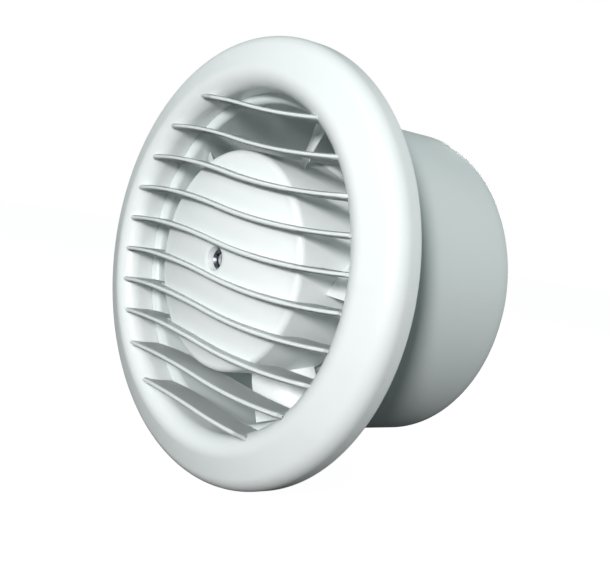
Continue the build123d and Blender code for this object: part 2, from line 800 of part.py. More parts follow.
def bearing_bush(back, length):
    """A plain bearing bush around the shaft."""
    with BuildPart() as bush:
        with BuildSketch(axial_plane(back)) as bush_ring:
            Circle(bush_radius)
            Circle(shaft_radius + shaft_running_gap, mode=Mode.SUBTRACT)
        extrude(amount=length)
    return bush.part


front_bush = bearing_bush(front_boss_back - bush_inset, bush_length)
front_bush.label = "front_bush"
rear_bush = bearing_bush(rear_boss_back - bush_inset, rear_boss_length - bush_inset)
rear_bush.label = "rear_bush"

# Two long screws clamp the brackets, the stack and the cup's floor together; their nuts are in the hub's hollow
screw_tip = cup_front - motor_nut_height - motor_screw_tip
with BuildPart() as motor_screws:
    with BuildSketch(axial_plane(rear_bracket_back)) as screw_shanks:
        with Locations((-motor_screw_reach, 0), (motor_screw_reach, 0)):
            Circle(motor_screw_radius)
    extrude(amount=rear_bracket_back - screw_tip)
    with BuildSketch(axial_plane(rear_bracket_back + motor_screw_head_height)) as screw_heads:
        with Locations((-motor_screw_reach, 0), (motor_screw_reach, 0)):
            Circle(motor_screw_head_radius)
    extrude(amount=motor_screw_head_height)
    with BuildSketch(axial_plane(rear_bracket_back + motor_screw_head_height)) as screw_slots:
        with Locations((-motor_screw_reach, 0), (motor_screw_reach, 0)):
            Rectangle(2 * motor_screw_head_radius, motor_screw_slot_width)
    extrude(amount=motor_screw_slot_depth, mode=Mode.SUBTRACT)
motor_screws.part.label = "motor_screws"

with BuildPart() as motor_nuts:
    with BuildSketch(axial_plane(cup_front)) as nut_section:
        with Locations((-motor_screw_reach, 0), (motor_screw_reach, 0)):
            RegularPolygon(motor_nut_flat / 2, 6, major_radius=False)
            Circle(motor_screw_radius, mode=Mode.SUBTRACT)
    extrude(amount=motor_nut_height)
motor_nuts.part.label = "motor_nuts"

# Rear cover of the motor cup, with a locating rim, screw pads, lead holes and posts for the cable clamp
with BuildPart() as motor_cover:
    with BuildSketch(Plane.XY) as plate_profile:
        with BuildLine():
            rim_outer = cup_bore - plate_rim_gap
            rim_tip = cover_boss_top + plate_rim_tip_gap
            Polyline(
                (0, cup_back),
                (rim_outer - plate_rim_wall, cup_back),
                (rim_outer - plate_rim_wall, rim_tip),
                (rim_outer, rim_tip),
                (rim_outer, cup_back),
                (cup_radius, cup_back),
                (cup_radius, cover_plate_back - plate_chamfer),
                (cup_radius - plate_chamfer, cover_plate_back),
                (0, cover_plate_back),
                close=True,
            )
        make_face()
    revolve(axis=Axis.Y)
    with BuildSketch(axial_plane(cup_back)) as screw_pads:
        with Locations((-cover_boss_reach, 0), (cover_boss_reach, 0)):
            Circle(cover_boss_radius - pad_inset)
    extrude(amount=cup_back - cover_boss_top)
    post_back = cover_plate_back + clamp_post_height
    with BuildSketch(axial_plane(post_back)) as clamp_posts:
        with Locations((-clamp_post_reach, clamp_height), (clamp_post_reach, clamp_height)):
            Circle(clamp_post_radius)
    extrude(amount=clamp_post_height)
    with BuildSketch(axial_plane(post_back)) as post_holes:
        with Locations((-clamp_post_reach, clamp_height), (clamp_post_reach, clamp_height)):
            Circle(small_screw_radius)
    extrude(amount=clamp_post_height, mode=Mode.SUBTRACT)
    with BuildSketch(axial_plane(cover_plate_back)) as plate_holes:
        with Locations((-cover_boss_reach, 0), (cover_boss_reach, 0)):
            Circle(small_screw_radius + screw_slack)
        with Locations((-block_pole_reach, lead_height), (block_pole_reach, lead_height)):
            Circle(lead_radius + lead_hole_gap)
        Circle(small_screw_radius)
    extrude(amount=cover_plate_back - cover_boss_top, mode=Mode.SUBTRACT)
motor_cover.part.label = "motor_cover"


def slotted_screws(places, head_back, length):
    """Small pan-head screws along the fan's axis, one at each (x, z) place."""
    with BuildPart() as screws:
        with BuildSketch(axial_plane(head_back - small_screw_head_height)) as shanks:
            with Locations(*places):
                Circle(small_screw_radius)
        extrude(amount=length)
        with BuildSketch(axial_plane(head_back)) as heads:
            with Locations(*places):
                Circle(small_screw_head_radius)
        extrude(amount=small_screw_head_height, taper=small_screw_taper)
        with BuildSketch(axial_plane(head_back)) as slots:
            with Locations(*places):
                Rectangle(2 * small_screw_head_radius, small_screw_slot_width)
        extrude(amount=small_screw_slot_depth, mode=Mode.SUBTRACT)
    return screws.part


cover_screws = slotted_screws(
    [(-cover_boss_reach, 0), (cover_boss_reach, 0)], cover_plate_back + small_screw_head_height, small_screw_length
)
cover_screws.label = "cover_screws"

# Terminal block on the rear cover: two poles with a wire port through each and a screw well at each end
block_back = cover_plate_back + block_depth
port_y = cover_plate_back + block_depth / 2
with BuildPart() as terminal_block:
    with BuildSketch(axial_plane(block_back)) as block_outline:
        RectangleRounded(block_width, block_height, block_corner)
    extrude(amount=block_depth)
    with BuildSketch(Plane.XY.offset(-block_height / 2)) as wire_ports:
        with Locations((-block_pole_reach, port_y), (block_pole_reach, port_y)):
            Circle(block_port_radius)
    extrude(amount=block_height, mode=Mode.SUBTRACT)
    well_places = [
        (sx * block_pole_reach, sz * block_screw_reach) for sx in (-1, 1) for sz in (-1, 1)
    ]
    with BuildSketch(axial_plane(block_back)) as screw_wells:
        with Locations(*well_places):
            Circle(terminal_screw_radius + block_well_gap)
    extrude(amount=block_back - port_y, mode=Mode.SUBTRACT)
    with BuildSketch(axial_plane(block_back)) as fixing_well:
        Circle(small_screw_radius + screw_slack)
        with Locations((0, block_height / 2), (0, -block_height / 2)):
            Rectangle(block_notch_width, 2 * block_notch_depth)
    extrude(amount=block_depth, mode=Mode.SUBTRACT)
    with BuildSketch(axial_plane(block_back)) as head_well:
        Circle(small_screw_head_radius + block_well_gap)
    extrude(amount=small_screw_head_height + block_head_sink, mode=Mode.SUBTRACT)
terminal_block.part.label = "terminal_block"

with BuildPart() as terminal_screws:
    terminal_screw_back = block_back - terminal_screw_sink
    with BuildSketch(axial_plane(terminal_screw_back)) as terminal_screw_section:
        with Locations(*well_places):
            Circle(terminal_screw_radius)
    extrude(amount=terminal_screw_back - port_y - lead_radius)
    with BuildSketch(axial_plane(terminal_screw_back)) as driver_slots:
        with Locations(*well_places):
            Rectangle(2 * terminal_screw_radius, terminal_slot_width)
    extrude(amount=terminal_slot_depth, mode=Mode.SUBTRACT)
terminal_screws.part.label = "terminal_screws"

block_screw = slotted_screws([(0, 0)], block_back - block_head_sink, block_depth - block_head_sink)
block_screw.label = "block_screw"

# Cable clamp: an arched bar on the two posts, with its screws
with BuildPart() as cable_clamp:
    bar_front = cover_plate_back + clamp_post_height
    with BuildSketch(axial_plane(bar_front + clamp_bar_wall)) as clamp_outline:
        with Locations((0, clamp_height)):
            SlotOverall(2 * clamp_half_width, clamp_bar_height)
        with Locations((-clamp_post_reach, clamp_height), (clamp_post_reach, clamp_height)):
            Circle(small_screw_radius + screw_slack, mode=Mode.SUBTRACT)
    extrude(amount=clamp_bar_wall)
    with BuildSketch(Plane.XY.offset(clamp_height - clamp_bar_height / 2)) as cable_groove:
        with Locations((0, bar_front - clamp_groove_offset)):
            Circle(clamp_groove_radius)
    extrude(amount=clamp_bar_height, mode=Mode.SUBTRACT)
cable_clamp.part.label = "cable_clamp"

clamp_screws = slotted_screws(
    [(-clamp_post_reach, clamp_height), (clamp_post_reach, clamp_height)],
    bar_front + clamp_bar_wall + small_screw_head_height,
    clamp_bar_wall + clamp_post_height - clamp_screw_inset,
)
clamp_screws.label = "clamp_screws"

# Motor leads: from the winding's back face, through the rear cover and up into the terminal block
with BuildPart() as motor_leads:
    for side in (-1, 1):
        x = side * block_pole_reach
        with BuildLine() as lead_route:
            FilletPolyline(
                (x, coil_back, lead_height),
                (x, port_y, lead_height),
                (x, port_y, -block_height / 2 + lead_entry),
                radius=lead_bend,
            )
        with BuildSketch(Plane(origin=(x, coil_back, lead_height), z_dir=(0, 1, 0))) as lead_section:
            Circle(lead_radius)
        sweep(path=lead_route.wires()[0])
motor_leads.part.label = "motor_leads"

# Rubber grommet in the spigot's wall, flush outside so that a duct slides over it
with BuildPart() as cable_grommet:
    grommet_tip = sqrt(tube_radius ** 2 - (grommet_bore_radius + grommet_wall) ** 2) - grommet_sink
    flange_seat = sqrt(tube_bore ** 2 - grommet_flange_radius ** 2) - grommet_fit
    with BuildSketch(radial_plane(180, flange_seat - grommet_flange)) as grommet_collar:
        with Locations((grommet_station, 0)):
            Circle(grommet_flange_radius)
    extrude(amount=grommet_flange)
    with BuildSketch(radial_plane(180, flange_seat)) as grommet_neck:
        with Locations((grommet_station, 0)):
            Circle(grommet_bore_radius + grommet_wall - grommet_fit)
    extrude(amount=grommet_tip - flange_seat)
    with BuildSketch(radial_plane(180, flange_seat - grommet_flange)) as grommet_bore:
        with Locations((grommet_station, 0)):
            Circle(grommet_bore_radius)
    extrude(amount=grommet_tip - flange_seat + grommet_flange, mode=Mode.SUBTRACT)
cable_grommet.part.label = "cable_grommet"

pieces = [
    mounting_ring.part,
    duct_tube.part,
    cover_bezel.part,
    cover_louvres.part,
    impeller_hub.part,
    impeller_blades.part,
    impeller_clip.part,
    motor_shaft.part,
    rotor_core.part,
    shaft_washers.part,
    motor_cup.part,
    support_struts.part,
    stator_core.part,
    shading_rings.part,
    coil_bobbin.part,
    coil_winding.part,
    front_bracket,
    rear_bracket,
    front_bush,
    rear_bush,
    motor_screws.part,
    motor_nuts.part,
    motor_cover.part,
    cover_screws,
    terminal_block.part,
    terminal_screws.part,
    block_screw,
    cable_clamp.part,
    clamp_screws,
    motor_leads.part,
    cable_grommet.part,
]
for piece in pieces:
    export_step(piece, f"parts/{piece.label}.step")
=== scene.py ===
"""Looks for the round ceiling exhaust fan: smooth meshes, finishes, studio and camera.

The fan's axis is Y. The room and the louvred cover are on the -Y side, y = 0 is the ceiling face, and the
duct tube points along +Y. Sizes in the classes below are in millimetres, and every mesh is made in metres.
"""

import json
import logging
import math
from dataclasses import dataclass, field
from enum import Enum
from typing import Iterable, Sequence

import bpy
from mathutils import Euler, Matrix, Vector


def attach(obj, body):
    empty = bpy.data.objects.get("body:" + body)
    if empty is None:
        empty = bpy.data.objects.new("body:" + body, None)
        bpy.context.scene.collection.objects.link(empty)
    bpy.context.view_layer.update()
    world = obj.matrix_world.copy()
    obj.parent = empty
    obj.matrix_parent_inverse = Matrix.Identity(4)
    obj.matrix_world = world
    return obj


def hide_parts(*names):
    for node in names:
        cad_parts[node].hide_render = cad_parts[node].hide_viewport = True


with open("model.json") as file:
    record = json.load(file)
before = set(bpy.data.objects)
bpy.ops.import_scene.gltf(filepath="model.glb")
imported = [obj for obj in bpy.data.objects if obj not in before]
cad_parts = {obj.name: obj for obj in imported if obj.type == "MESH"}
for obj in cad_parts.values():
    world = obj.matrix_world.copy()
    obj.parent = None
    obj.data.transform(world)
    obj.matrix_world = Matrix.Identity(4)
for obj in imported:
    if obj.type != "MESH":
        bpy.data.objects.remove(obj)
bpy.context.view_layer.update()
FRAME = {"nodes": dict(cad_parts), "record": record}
LOG = logging.getLogger("exhaust_fan")
MM = 0.001
MERGE = 0.002
FINE_MERGE = 0.0005
EVEN_ANGLE = 30.0
TURNED_ANGLE = 32.0
SHEET_ANGLE = 40.0
PAN_HEAD_HEIGHT = 1.7
PAST = 1.0
Point2 = tuple[float, float]
Point3 = tuple[float, float, float]
Piece = bpy.types.Object
Tree = bpy.types.NodeTree
Node = bpy.types.Node
Socket = bpy.types.NodeSocket


class Body(Enum):
    """The rigid bodies that pieces ride on."""

    BASE = "fan_base"
    ROTOR = "impeller_rotor"
    COVER = "cover"


class Grain(Enum):
    """What runs along the surface of a metal part."""

    DRAWN = "drawn"
    LAMINATED = "laminated"
    WOUND = "wound"
    CAST = "cast"


# Modelling steps


def leave_edit() -> None:
    """Leave edit mode if an object is being edited, and deselect everything."""
    if bpy.context.object and bpy.context.object.mode != "OBJECT":
        bpy.ops.object.mode_set(mode="OBJECT")
    bpy.ops.object.select_all(action="DESELECT")


def make_active(piece: Piece) -> None:
    """Select one object alone and make it active.

    Args:
        piece: The object.
    """
    leave_edit()
    piece.select_set(True)
    bpy.context.view_layer.objects.active = piece


def begin_line(name: str, start: Point3) -> Piece:
    """Begin a piece as one point, left selected in edit mode.

    Args:
        name: Name of the new object.
        start: The point's place, in mm.

    Returns:
        The new object, in edit mode.
    """
    leave_edit()
    bpy.ops.mesh.primitive_plane_add(size=MM, location=(0, 0, 0))
    piece = bpy.context.object
    piece.name = piece.data.name = name
    bpy.ops.object.mode_set(mode="EDIT")
    bpy.ops.mesh.select_all(action="SELECT")
    bpy.ops.mesh.merge(type="CENTER")
    bpy.ops.transform.translate(value=Vector(start) * MM)
    return piece


def draw_line(points: Sequence[Point3]) -> None:
    """Extrude the selected point along a line.

    Args:
        points: The line's points in mm; the first is where the selected point already is.
    """
    for here, there in zip(points, points[1:]):
        step = (Vector(there) - Vector(here)) * MM
        bpy.ops.mesh.extrude_region_move(TRANSFORM_OT_translate={"value": step})


def tidy(piece: Piece, smooth_angle: float = TURNED_ANGLE, merge: float = MERGE) -> Piece:
    """Merge doubles, point the faces outwards and shade the piece smooth.

    Args:
        piece: The object to finish.
        smooth_angle: Edges sharper than this many degrees stay hard.
        merge: Points nearer than this, in mm, become one.

    Returns:
        The same object, in object mode.
    """
    make_active(piece)
    bpy.ops.object.mode_set(mode="EDIT")
    bpy.ops.mesh.select_all(action="SELECT")
    bpy.ops.mesh.remove_doubles(threshold=merge * MM)
    bpy.ops.mesh.normals_make_consistent(inside=False)
    bpy.ops.object.mode_set(mode="OBJECT")
    bpy.ops.object.shade_smooth_by_angle(angle=math.radians(smooth_angle))
    return piece


def turn_profile(name: str, profile: Sequence[Point2], steps: int = 180, closed: bool = True) -> Piece:
    """Turn a profile about the fan's axis.

    Args:
        name: Name of the new object.
        profile: Points as (radius, y), in mm.
        steps: How many steps make the full turn.
        closed: Whether the profile's last point joins its first.

    Returns:
        The turned object.
    """
    points = [(r, y, 0.0) for r, y in profile]
    if closed:
        points.append(points[0])
    piece = begin_line(name, points[0])
    draw_line(points)
    bpy.ops.mesh.select_all(action="SELECT")
    bpy.ops.mesh.spin(steps=steps, angle=math.tau, center=(0, 0, 0), axis=(0, 1, 0))
    return tidy(piece)


def modify(piece: Piece, kind: str, **values: object) -> None:
    """Add one modifier to a piece and apply it.

    Args:
        piece: The object to change.
        kind: Blender's name for the modifier type.
        **values: The modifier's settings.
    """
    make_active(piece)
    modifier = piece.modifiers.new(kind.title(), kind)
    for key, value in values.items():
        setattr(modifier, key, value)
    bpy.ops.object.modifier_apply(modifier=modifier.name)


def cut(piece: Piece, cutter: Piece, operation: str = "DIFFERENCE") -> None:
    """Cut a piece with another object, which is then removed.

    Args:
        piece: The object to change.
        cutter: A closed object.
        operation: DIFFERENCE, UNION or INTERSECT.
    """
    modify(piece, "BOOLEAN", object=cutter, operation=operation, solver="EXACT")
    bpy.data.objects.remove(cutter)


def join(name: str, pieces: Sequence[Piece]) -> Piece:
    """Join several objects into one.

    Args:
        name: The joined object's name.
        pieces: The objects; the first one stays.

    Returns:
        The joined object.
    """
    make_active(pieces[0])
    for piece in pieces[1:]:
        piece.select_set(True)
    if len(pieces) > 1:
        bpy.ops.object.join()
    pieces[0].name = pieces[0].data.name = name
    return pieces[0]


def copies_about_axis(piece: Piece, degrees: Iterable[float]) -> list[Piece]:
    """Copy a piece to several turns about the fan's axis; the original is removed.

    Args:
        piece: The object to repeat.
        degrees: The angle of each copy.

    Returns:
        The copies, each with its own mesh.
    """
    made = []
    for angle in degrees:
        copy = piece.copy()
        copy.data = piece.data.copy()
        copy.data.transform(Matrix.Rotation(-math.radians(angle), 4, "Y"))
        bpy.context.scene.collection.objects.link(copy)
        made.append(copy)
    bpy.data.objects.remove(piece)
    return made


def rod(
    name: str, radius: float, start: Point3, end: Point3, sides: int = 48, edge: float = 0.0
) -> Piece:
    """Make a round bar between two points.

    Args:
        name: Name of the new object.
        radius: Radius in mm.
        start: Centre of one end, in mm.
        end: Centre of the other end, in mm.
        sides: Number of sides.
        edge: Rounding of the end edges, in mm.

    Returns:
        The bar.
    """
    leave_edit()
    a, b = Vector(start) * MM, Vector(end) * MM
    bpy.ops.mesh.primitive_cylinder_add(vertices=sides, radius=radius * MM, depth=(b - a).length)
    piece = bpy.context.object
    piece.name = piece.data.name = name
    turn = (b - a).to_track_quat("Z", "Y").to_matrix().to_4x4()
    piece.data.transform(Matrix.Translation((a + b) / 2) @ turn)
    if edge:
        rim_angle = math.radians(50)
        modify(piece, "BEVEL", width=edge * MM, segments=3, limit_method="ANGLE", angle_limit=rim_angle)
    make_active(piece)
    bpy.ops.object.shade_smooth_by_angle(angle=math.radians(SHEET_ANGLE))
    return piece


def block(name: str, low: Point3, high: Point3, edge: float = 0.0, segments: int = 3) -> Piece:
    """Make a bar with rounded edges between two corners.

    Args:
        name: Name of the new object.
        low: Lowest corner, in mm.
        high: Highest corner, in mm.
        edge: Rounding of every edge, in mm.
        segments: Steps of the rounding.

    Returns:
        The bar.
    """
    leave_edit()
    a, b = Vector(low) * MM, Vector(high) * MM
    bpy.ops.mesh.primitive_cube_add(size=1.0)
    piece = bpy.context.object
    piece.name = piece.data.name = name
    piece.data.transform(Matrix.Translation((a + b) / 2) @ Matrix.Diagonal((*(b - a), 1.0)))
    if edge:
        modify(piece, "BEVEL", width=edge * MM, segments=segments, limit_method="ANGLE")
    make_active(piece)
    bpy.ops.object.shade_smooth_by_angle(angle=math.radians(35))
    return piece


def plate(name: str, outline: Sequence[Point3], thickness: Point3, edge: float = 0.0) -> Piece:
    """Make a flat plate from its outline.

    Args:
        name: Name of the new object.
        outline: Corners in order, in mm, on one face of the plate.
        thickness: The way to the other face, in mm.
        edge: Rounding of its edges, in mm.

    Returns:
        The plate.
    """
    piece = begin_line(name, outline[0])
    draw_line([*outline, outline[0]])
    bpy.ops.mesh.select_all(action="SELECT")
    bpy.ops.mesh.remove_doubles(threshold=MERGE * MM)
    bpy.ops.mesh.edge_face_add()
    bpy.ops.mesh.extrude_region_move(TRANSFORM_OT_translate={"value": Vector(thickness) * MM})
    bpy.ops.object.mode_set(mode="OBJECT")
    tidy(piece)
    if edge:
        rim_angle = math.radians(40)
        modify(piece, "BEVEL", width=edge * MM, segments=2, limit_method="ANGLE", angle_limit=rim_angle)
    return tidy(piece)


def shift(piece: Piece, move: Point3, turn: Matrix | None = None) -> Piece:
    """Move a piece inside its mesh, after turning it if asked.

    Args:
        piece: The object.
        move: The move in mm.
        turn: A turn about the origin.

    Returns:
        The same object.
    """
    if turn is not None:
        piece.data.transform(turn)
    piece.data.transform(Matrix.Translation(Vector(move) * MM))
    return piece


def pan_screw(name: str, place: Point2, head_back: float, length: float, slot_turn: float) -> Piece:
    """Make a slotted pan-head screw along the fan's axis, its head towards +Y.

    Args:
        name: Name of the new object.
        place: Its x and z, in mm.
        head_back: y of the head's top, in mm.
        length: Length of the shank, in mm.
        slot_turn: Angle of the slot, in degrees.

    Returns:
        The screw.
    """
    shank, point, head, rim, crown, flat = 1.25, 0.4, 2.5, 0.15, 0.9, 0.8
    slot_reach, slot_depth, slot_half = 3.2, 0.8, 0.35
    under = head_back - PAN_HEAD_HEIGHT
    tip = under - length
    profile = [(0.0, tip), (shank - point, tip), (shank, tip + point), (shank, under)]
    profile += [(head - rim, under), (head, under + rim)]
    profile += arc((head - crown, head_back - crown), crown, 0, 80, 7)
    profile += [(flat, head_back), (0.0, head_back)]
    screw = turn_profile(name, profile, 40, closed=False)
    slot_floor, slot_top = head_back - slot_depth, head_back + PAST
    slot = block("slot", (-slot_reach, slot_floor, -slot_half), (slot_reach, slot_top, slot_half))
    shift(slot, (0, 0, 0), Matrix.Rotation(math.radians(slot_turn), 4, "Y"))
    cut(screw, slot)
    return tidy(shift(screw, (place[0], 0, place[1])), EVEN_ANGLE, FINE_MERGE)


def spaced(first: float, last: float, steps: int) -> list[float]:
    """Evenly spaced values, both ends included.

    Args:
        first: The first value.
        last: The last value.
        steps: Number of steps between them.

    Returns:
        The values.
    """
    return [first + (last - first) * i / steps for i in range(steps + 1)]


def arc(centre: Point2, radius: float, first: float, last: float, steps: int = 8) -> list[Point2]:
    """Points along an arc of a profile.

    Args:
        centre: Centre as (radius, y), in mm.
        radius: Radius in mm.
        first: Start angle in degrees.
        last: End angle in degrees.
        steps: Number of steps.

    Returns:
        The points, both ends included.
    """
    angles = [math.radians(a) for a in spaced(first, last, steps)]
    return [(centre[0] + radius * math.cos(a), centre[1] + radius * math.sin(a)) for a in angles]


# Finishes


@dataclass
class NodeDesk:
    """Places shader nodes in one tree."""

    tree: Tree
    column: int = 0

    def add(self, kind: str, **values: object) -> Node:
        """Add a node and set its plain properties.

        Args:
            kind: The node's type name.
            **values: Properties by name.

        Returns:
            The node.
        """
        node = self.tree.nodes.new(kind)
        node.location = (self.column * 200, 0)
        self.column += 1
        for key, value in values.items():
            setattr(node, key, value)
        return node

    def link(self, source: Socket, target: Socket) -> None:
        """Join two sockets."""
        self.tree.links.new(source, target)

    def noise(self, where: Socket, scale: float, detail: float = 3.0, rough: float = 0.5) -> Node:
        """Add a noise texture read at a vector.

        Args:
            where: The vector socket.
            scale: Cells per metre.
            detail: Octaves.
            rough: Roughness of the octaves.

        Returns:
            The texture node.
        """
        node = self.add("ShaderNodeTexNoise")
        node.inputs["Scale"].default_value = scale
        node.inputs["Detail"].default_value = detail
        node.inputs["Roughness"].default_value = rough
        self.link(where, node.inputs["Vector"])
        return node

    def spread(
        self, value: Socket, low: float, high: float, to_low: Socket | float, to_high: Socket | float
    ) -> Socket:
        """Map a value from one range to another.

        Args:
            value: The socket to map.
            low: Lowest input.
            high: Highest input.
            to_low: Output at the lowest input.
            to_high: Output at the highest input.

        Returns:
            The mapped socket.
        """
        node = self.add("ShaderNodeMapRange")
        self.link(value, node.inputs["Value"])
        node.inputs["From Min"].default_value = low
        node.inputs["From Max"].default_value = high
        for key, want in (("To Min", to_low), ("To Max", to_high)):
            if isinstance(want, (int, float)):
                node.inputs[key].default_value = want
            else:
                self.link(want, node.inputs[key])
        return node.outputs["Result"]

    def blend(self, share: Socket, first: Socket | tuple, second: Socket | tuple) -> Socket:
        """Mix two colours.

        Args:
            share: How much of the second colour, from 0 to 1.
            first: A colour or a colour socket.
            second: A colour or a colour socket.

        Returns:
            The mixed colour.
        """
        node = self.add("ShaderNodeMix", data_type="RGBA")
        self.link(share, node.inputs["Factor"])
        sockets = [s for s in node.inputs if s.type == "RGBA"]
        for socket, want in zip(sockets, (first, second)):
            if isinstance(want, tuple):
                socket.default_value = want
            else:
                self.link(want, socket)
        return [s for s in node.outputs if s.type == "RGBA"][0]


SURFACE = {"Color": "NodeSocketColor", "Roughness": "NodeSocketFloat", "Height": "NodeSocketFloat"}


def new_group(name: str, inputs: dict[str, float | tuple]) -> tuple[Tree, NodeDesk, Node, Node]:
    """Make an empty shader node group that puts out a colour, a roughness and a height.

    Args:
        name: The group's name.
        inputs: Socket name to its default, a number or a colour.

    Returns:
        The group, a desk on it, and its input and output nodes.
    """
    group = bpy.data.node_groups.new(name, "ShaderNodeTree")
    for key, value in inputs.items():
        kind = "NodeSocketColor" if isinstance(value, tuple) else "NodeSocketFloat"
        socket = group.interface.new_socket(name=key, in_out="INPUT", socket_type=kind)
        socket.default_value = value
    for key, kind in SURFACE.items():
        group.interface.new_socket(name=key, in_out="OUTPUT", socket_type=kind)
    desk = NodeDesk(group)
    return group, desk, desk.add("NodeGroupInput"), desk.add("NodeGroupOutput")


def link_roughness(desk: NodeDesk, pattern: Node, start: Node, end: Node) -> None:
    """Let a pattern move a group's roughness between its two ends.

    Args:
        desk: The desk on the group.
        pattern: The noise texture to follow.
        start: The group's input node.
        end: The group's output node.
    """
    ends = start.outputs["Rough Low"], start.outputs["Rough High"]
    desk.link(desk.spread(pattern.outputs["Fac"], 0.3, 0.7, *ends), end.inputs["Roughness"])


class Effects:
    """Shader groups that several finishes share, each built once."""

    _made: dict[str, Tree] = {}

    @classmethod
    def moulded_skin(cls) -> Tree:
        """Moulded plastic: faint mottling, a fine satin skin and slight handling dust.

        Returns:
            The node group.
        """
        if "moulded_skin" not in cls._made:
            group, desk, start, end = new_group(
                "moulded_skin",
                {"Color": (0.8, 0.8, 0.8, 1.0), "Shade": (0.7, 0.7, 0.7, 1.0), "Mottle": 0.3, "Dust": 0.2,
                 "Rough Low": 0.25, "Rough High": 0.35})
            place = desk.add("ShaderNodeTexCoord").outputs["Object"]
            broad = desk.noise(place, 28.0, 2.0)
            fine = desk.noise(place, 420.0, 4.0, 0.6)
            skin = desk.noise(place, 2600.0, 2.0, 0.55)
            share = desk.spread(broad.outputs["Fac"], 0.35, 0.75, 0.0, start.outputs["Mottle"])
            tinted = desk.blend(share, start.outputs["Color"], start.outputs["Shade"])
            specks = desk.spread(fine.outputs["Fac"], 0.58, 0.8, 0.0, start.outputs["Dust"])
            desk.link(desk.blend(specks, tinted, start.outputs["Shade"]), end.inputs["Color"])
            link_roughness(desk, fine, start, end)
            desk.link(desk.spread(skin.outputs["Fac"], 0.2, 0.8, 0.0, 1.0), end.inputs["Height"])
            cls._made["moulded_skin"] = group
        return cls._made["moulded_skin"]

    @classmethod
    def metal_grain(cls) -> Tree:
        """Metal grain: fine lines along the part, with brighter and darker streaks.

        Returns:
            The node group.
        """
        if "metal_grain" not in cls._made:
            group, desk, start, end = new_group(
                "metal_grain",
                {"Color": (0.6, 0.6, 0.6, 1.0), "Shade": (0.4, 0.4, 0.4, 1.0), "Lines": 0.5, "Along X": 1.0,
                 "Along Y": 1.0, "Along Z": 1.0, "Rough Low": 0.25, "Rough High": 0.4})
            place = desk.add("ShaderNodeTexCoord").outputs["Object"]
            scale = desk.add("ShaderNodeCombineXYZ")
            for key in "XYZ":
                desk.link(start.outputs[f"Along {key}"], scale.inputs[key])
            stretched = desk.add("ShaderNodeVectorMath", operation="MULTIPLY")
            desk.link(place, stretched.inputs[0])
            desk.link(scale.outputs["Vector"], stretched.inputs[1])
            lines = desk.noise(stretched.outputs["Vector"], 1.0, 4.0, 0.6)
            stain = desk.noise(place, 160.0, 3.0)
            share = desk.spread(lines.outputs["Fac"], 0.3, 0.7, 0.0, start.outputs["Lines"])
            lined = desk.blend(share, start.outputs["Color"], start.outputs["Shade"])
            worn = desk.spread(stain.outputs["Fac"], 0.5, 0.85, 0.0, 0.5)
            desk.link(desk.blend(worn, lined, start.outputs["Shade"]), end.inputs["Color"])
            link_roughness(desk, stain, start, end)
            desk.link(desk.spread(lines.outputs["Fac"], 0.2, 0.8, 0.0, 1.0), end.inputs["Height"])
            cls._made["metal_grain"] = group
        return cls._made["metal_grain"]

    @classmethod
    def stacked_layers(cls) -> Tree:
        """Layers across one axis: laminations of a stack or turns of a winding.

        Returns:
            The node group.
        """
        if "stacked_layers" not in cls._made:
            group, desk, start, end = new_group(
                "stacked_layers",
                {"Color": (0.5, 0.5, 0.5, 1.0), "Gap": (0.1, 0.1, 0.1, 1.0), "Along X": 0.0, "Along Y": 1.0,
                 "Pitch": 0.5, "Rough Low": 0.3, "Rough High": 0.5})
            place = desk.add("ShaderNodeTexCoord").outputs["Object"]
            parts = desk.add("ShaderNodeSeparateXYZ")
            desk.link(place, parts.inputs["Vector"])
            across_x = desk.add("ShaderNodeMath", operation="MULTIPLY")
            desk.link(parts.outputs["X"], across_x.inputs[0])
            desk.link(start.outputs["Along X"], across_x.inputs[1])
            across = desk.add("ShaderNodeMath", operation="MULTIPLY_ADD")
            desk.link(parts.outputs["Y"], across.inputs[0])
            desk.link(start.outputs["Along Y"], across.inputs[1])
            desk.link(across_x.outputs["Value"], across.inputs[2])
            pitch = desk.add("ShaderNodeMath", operation="MULTIPLY")
            desk.link(start.outputs["Pitch"], pitch.inputs[0])
            pitch.inputs[1].default_value = MM
            count = desk.add("ShaderNodeMath", operation="DIVIDE")
            desk.link(across.outputs["Value"], count.inputs[0])
            desk.link(pitch.outputs["Value"], count.inputs[1])
            saw = desk.add("ShaderNodeMath", operation="FRACT")
            desk.link(count.outputs["Value"], saw.inputs[0])
            ridge = desk.add("ShaderNodeMath", operation="PINGPONG")
            desk.link(saw.outputs["Value"], ridge.inputs[0])
            ridge.inputs[1].default_value = 0.5
            crest = desk.spread(ridge.outputs["Value"], 0.0, 0.25, 0.0, 1.0)
            stain = desk.noise(place, 220.0, 4.0)
            lit = desk.blend(crest, start.outputs["Gap"], start.outputs["Color"])
            worn = desk.spread(stain.outputs["Fac"], 0.5, 0.8, 0.0, 0.35)
            desk.link(desk.blend(worn, lit, start.outputs["Gap"]), end.inputs["Color"])
            link_roughness(desk, stain, start, end)
            desk.link(crest, end.inputs["Height"])
            cls._made["stacked_layers"] = group
        return cls._made["stacked_layers"]


